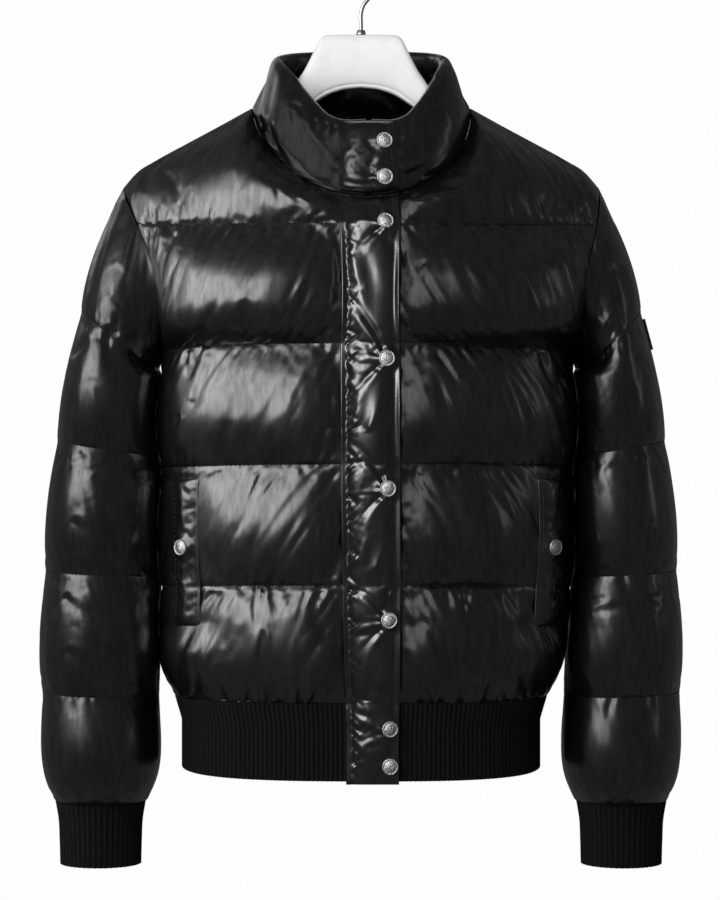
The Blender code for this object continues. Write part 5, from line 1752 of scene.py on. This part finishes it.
def stitches(name, lines):
    """One mesh of all the stitches along some lines of points, each with its outward directions."""
    corners, faces = stitch_shape()
    points, polygons = [], []
    for line, out in lines:
        length = summed(spans(line))
        for at in np.arange(STITCH_PITCH, length[-1] - STITCH_PITCH, STITCH_PITCH):
            start, end = on_line(line, length, np.array((at - 0.5, at + 0.5)))
            way = unit(end - start)
            side = unit(np.cross(on_line(out, length, at), way))
            up = np.cross(way, side)
            polygons += [[len(points) * len(corners) + i for i in face] for face in faces]
            points.append((start + end) / 2 + up * THREAD_RADIUS + corners @ np.stack((way, side, up)))
    mesh = bpy.data.meshes.new(name)
    mesh.from_pydata(np.concatenate(points) * MM, [], polygons)
    show(name, mesh, thread_black, smooth_angle=50)


def seam_lines(name, steps, first, last):
    """The quilting seams of a piece, from one of its columns to another."""
    skin, normals = SKINS[name]
    return [(skin[row, first:last], normals[row, first:last]) for row in np.cumsum(steps)[:-1]]


def strip_lines(name, columns, rows=slice(2, -2)):
    """Lines that run down a padded strip, at some of its columns."""
    return [(TOPS[name][rows, column], SKINS[name][1][rows, column]) for column in columns]


body_lines = seam_lines("front_right", CHANNEL_STEPS, 8, -1) + seam_lines("front_left", CHANNEL_STEPS, 8, -1)
stitches("front_stitches", body_lines)
stitches("back_stitches", seam_lines("back", CHANNEL_STEPS, 1, -1))
for side in SIDES:
    stitches("sleeve_stitches_" + side, seam_lines("sleeve_" + side, SLEEVE_STEPS, 12, -12))
stitches("flap_stitches", strip_lines("storm_flap", (6, -7)) + strip_lines("collar_flap", (6, -7)))
stitches("welt_stitches", [line for side in SIDES for line in strip_lines("pocket_welt_" + side, (5, -6))])
print("stitches done")

# %% [markdown]
# The press studs are turned parts. One outline is spun round the axis, with a bead at the
# rim, a groove inside it and a low dome. Each stands on the place of its own solid.

# %% Press studs
STUD_OUTLINE = (
    (7.4, 0.0), (7.4, 0.5), (7.35, 1.0), (7.1, 1.45), (6.7, 1.65), (6.3, 1.55), (6.0, 1.3), (5.7, 1.25),
    (5.2, 1.5), (4.4, 1.95), (3.4, 2.35), (2.2, 2.62), (1.1, 2.76), (0.0, 2.8),
)


def spun(name, outline, foot, axis, steps=48):
    """A solid turned from an outline of radius and height round an axis."""
    bm = bmesh.new()
    line = [bm.verts.new((radius * MM, 0, height * MM)) for radius, height in outline]
    edges = [bm.edges.new(pair) for pair in zip(line, line[1:])]
    bmesh.ops.spin(
        bm, geom=line + edges, cent=(0, 0, 0), axis=(0, 0, 1), angle=2 * math.pi, steps=steps,
        use_merge=True, use_duplicate=False,
    )
    bmesh.ops.remove_doubles(bm, verts=bm.verts, dist=1e-6)
    close_up(bm)
    turn = Vector(axis).to_track_quat("Z", "Y").to_matrix()
    bmesh.ops.rotate(bm, verts=bm.verts, cent=(0, 0, 0), matrix=turn)
    bmesh.ops.translate(bm, verts=bm.verts, vec=Vector(foot) * MM)
    return into(bpy.data.meshes.new(name), bm)


for name, (foot, axis) in STUDS.items():
    show(name, spun(name, STUD_OUTLINE, foot, axis), nickel, (name,), smooth_angle=60)
print("press studs done")

# %% [markdown]
# The hanger is moulded in one broad arch. Its sections are ovals that are read from a short
# table, and its lower edge carries a thin rolled lip. The hook is a bent wire.

# %% Hanger and hook
HANGER = {
    "at": (0.0, 18.0, 33.0, 38.0, 44.0, 52.0, 62.8, 80.0, 101.0, 131.0, 161.0, 190.0, 204.0, 210.0),
    "top": (
        -80.0, -80.0, -80.5, -84.0, -96.0, -112.0, -128.0, -145.0, -158.5, -171.0, -187.5, -205.0,
        -217.5, -223.0,
    ),
    "bottom": (
        -129.3, -131.5, -137.0, -140.0, -144.0, -149.5, -157.0, -167.5, -180.0, -196.0, -212.0, -228.0,
        -235.0, -231.0,
    ),
    "half_depth": (7.0, 7.5, 8.0, 8.5, 9.0, 9.5, 10.0, 10.0, 10.0, 12.5, 13.0, 12.5, 9.0, 4.0),
}
HANGER_END, LIP_GROOVE = 210.0, 0.16
WIRE_RADIUS, HOOK_RADIUS = 1.85, 22.0
HOOK_STEM = ((0.0, -79.6), (0.0, -70.0), (0.0, -60.0), (2.2, -52.5), (7.6, -45.4))
HOOK_ARC = (-58.0, 198.0)
FERRULE_OUTLINE = (
    (4.6, 0.0), (4.6, 0.8), (4.3, 1.4), (3.9, 3.4), (3.5, 4.0), (2.25, 4.0), (2.25, 0.0), (4.6, 0.0),
)


def make_hanger():
    shoulders = np.linspace(-HANGER_END, HANGER_END, 121)
    stations = np.unique(np.concatenate((shoulders, (-36.5, -34.5, 34.5, 36.5))))
    turn = np.linspace(0, 2 * math.pi, 72, endpoint=False)
    groove = np.exp(-((np.abs(turn - math.pi) - 0.52) / 0.08) ** 2)
    deep = np.sign(np.sin(turn)) * np.abs(np.sin(turn)) ** 0.4 * (1 - LIP_GROOVE * groove)
    rows = []
    for x in stations:
        top = np.interp(abs(x), HANGER["at"], HANGER["top"])
        bottom, depth = (float(read(HANGER, key, abs(x))) for key in ("bottom", "half_depth"))
        rows.append(points_of(x, depth * deep, (top + bottom) / 2 + (top - bottom) / 2 * np.cos(turn)))
    mesh = capped(grid_mesh("hanger_body", np.array(rows), closed=True))
    return show("hanger_body", mesh, hanger_gloss, ("hanger_body",), smooth_angle=50)


def wire_rings(path, radius, around):
    """Rings of points square to a path in the plane of the jacket."""
    along = unit(np.gradient(path, axis=0))
    level = np.array((0.0, 1.0, 0.0))
    side = unit(np.cross(along, level))
    turn = np.linspace(0, 2 * math.pi, around, endpoint=False)
    return path[:, None] + radius * (np.cos(turn)[:, None] * side[:, None] + np.sin(turn)[:, None] * level)


def make_hook():
    centre = np.array((0.0, 0.0, WIRE_RADIUS - HOOK_RADIUS))
    turn = np.radians(np.linspace(*HOOK_ARC, 60))
    arc = centre + HOOK_RADIUS * points_of(np.cos(turn), 0.0, np.sin(turn))
    stem = np.array([(x, 0.0, z) for x, z in HOOK_STEM])
    path = np.concatenate((even(stem, 24), arc[1:]))
    mesh = capped(grid_mesh("hanger_hook", wire_rings(path, WIRE_RADIUS, 20), closed=True))
    show("hanger_hook", mesh, steel, ("hanger_hook",), smooth_angle=50)
    foot = np.array((0.0, 0.0, HANGER["top"][0] + 0.3))
    ferrule = spun("hook_ferrule", FERRULE_OUTLINE, foot, (0, 0, 1))
    show("hook_ferrule", ferrule, steel, ("hook_ferrule",), smooth_angle=40)


hanger = make_hanger()
make_hook()
for name, finish in (("sleeve_patch", rubber), ("front_zip", tape_black)):
    bpy.data.objects[name].data.materials[0] = finish
print("hanger, hook and small parts done")

# %% [markdown]
# The sleeves, the collar and the flap turn other ways than the fronts, and the photographer's
# large lights reach them differently. Each gets a small light of its own, and so does the
# hanger. The two large lights leave the sleeves, the collar and the flap out.

# %% Which light falls on which piece
def only_on(light, pieces):
    light.light_linking.receiver_collection = bpy.data.collections.new(light.name + "_on")
    for piece in pieces:
        light.light_linking.receiver_collection.objects.link(piece)


def not_on(light, pieces):
    only_on(light, pieces)
    for place in light.light_linking.receiver_collection.collection_objects:
        place.light_linking.link_state = "EXCLUDE"


not_on(key_light, [*sleeves, collar, *flaps, fronts[1]])
not_on(wide_light, [*sleeves, collar, *flaps])
only_on(back_light, [back])
not_on(right_light, flaps)
only_on(side_light, fronts[:1])
not_on(sleeve_back_light, [back, *fronts, *flaps])
only_on(sleeve_light, sleeves)
only_on(collar_light, [collar])
only_on(collar_fill, [collar])
only_on(flap_light, flaps[:1])
only_on(collar_flap_light, flaps[1:])
only_on(hanger_light, [hanger])
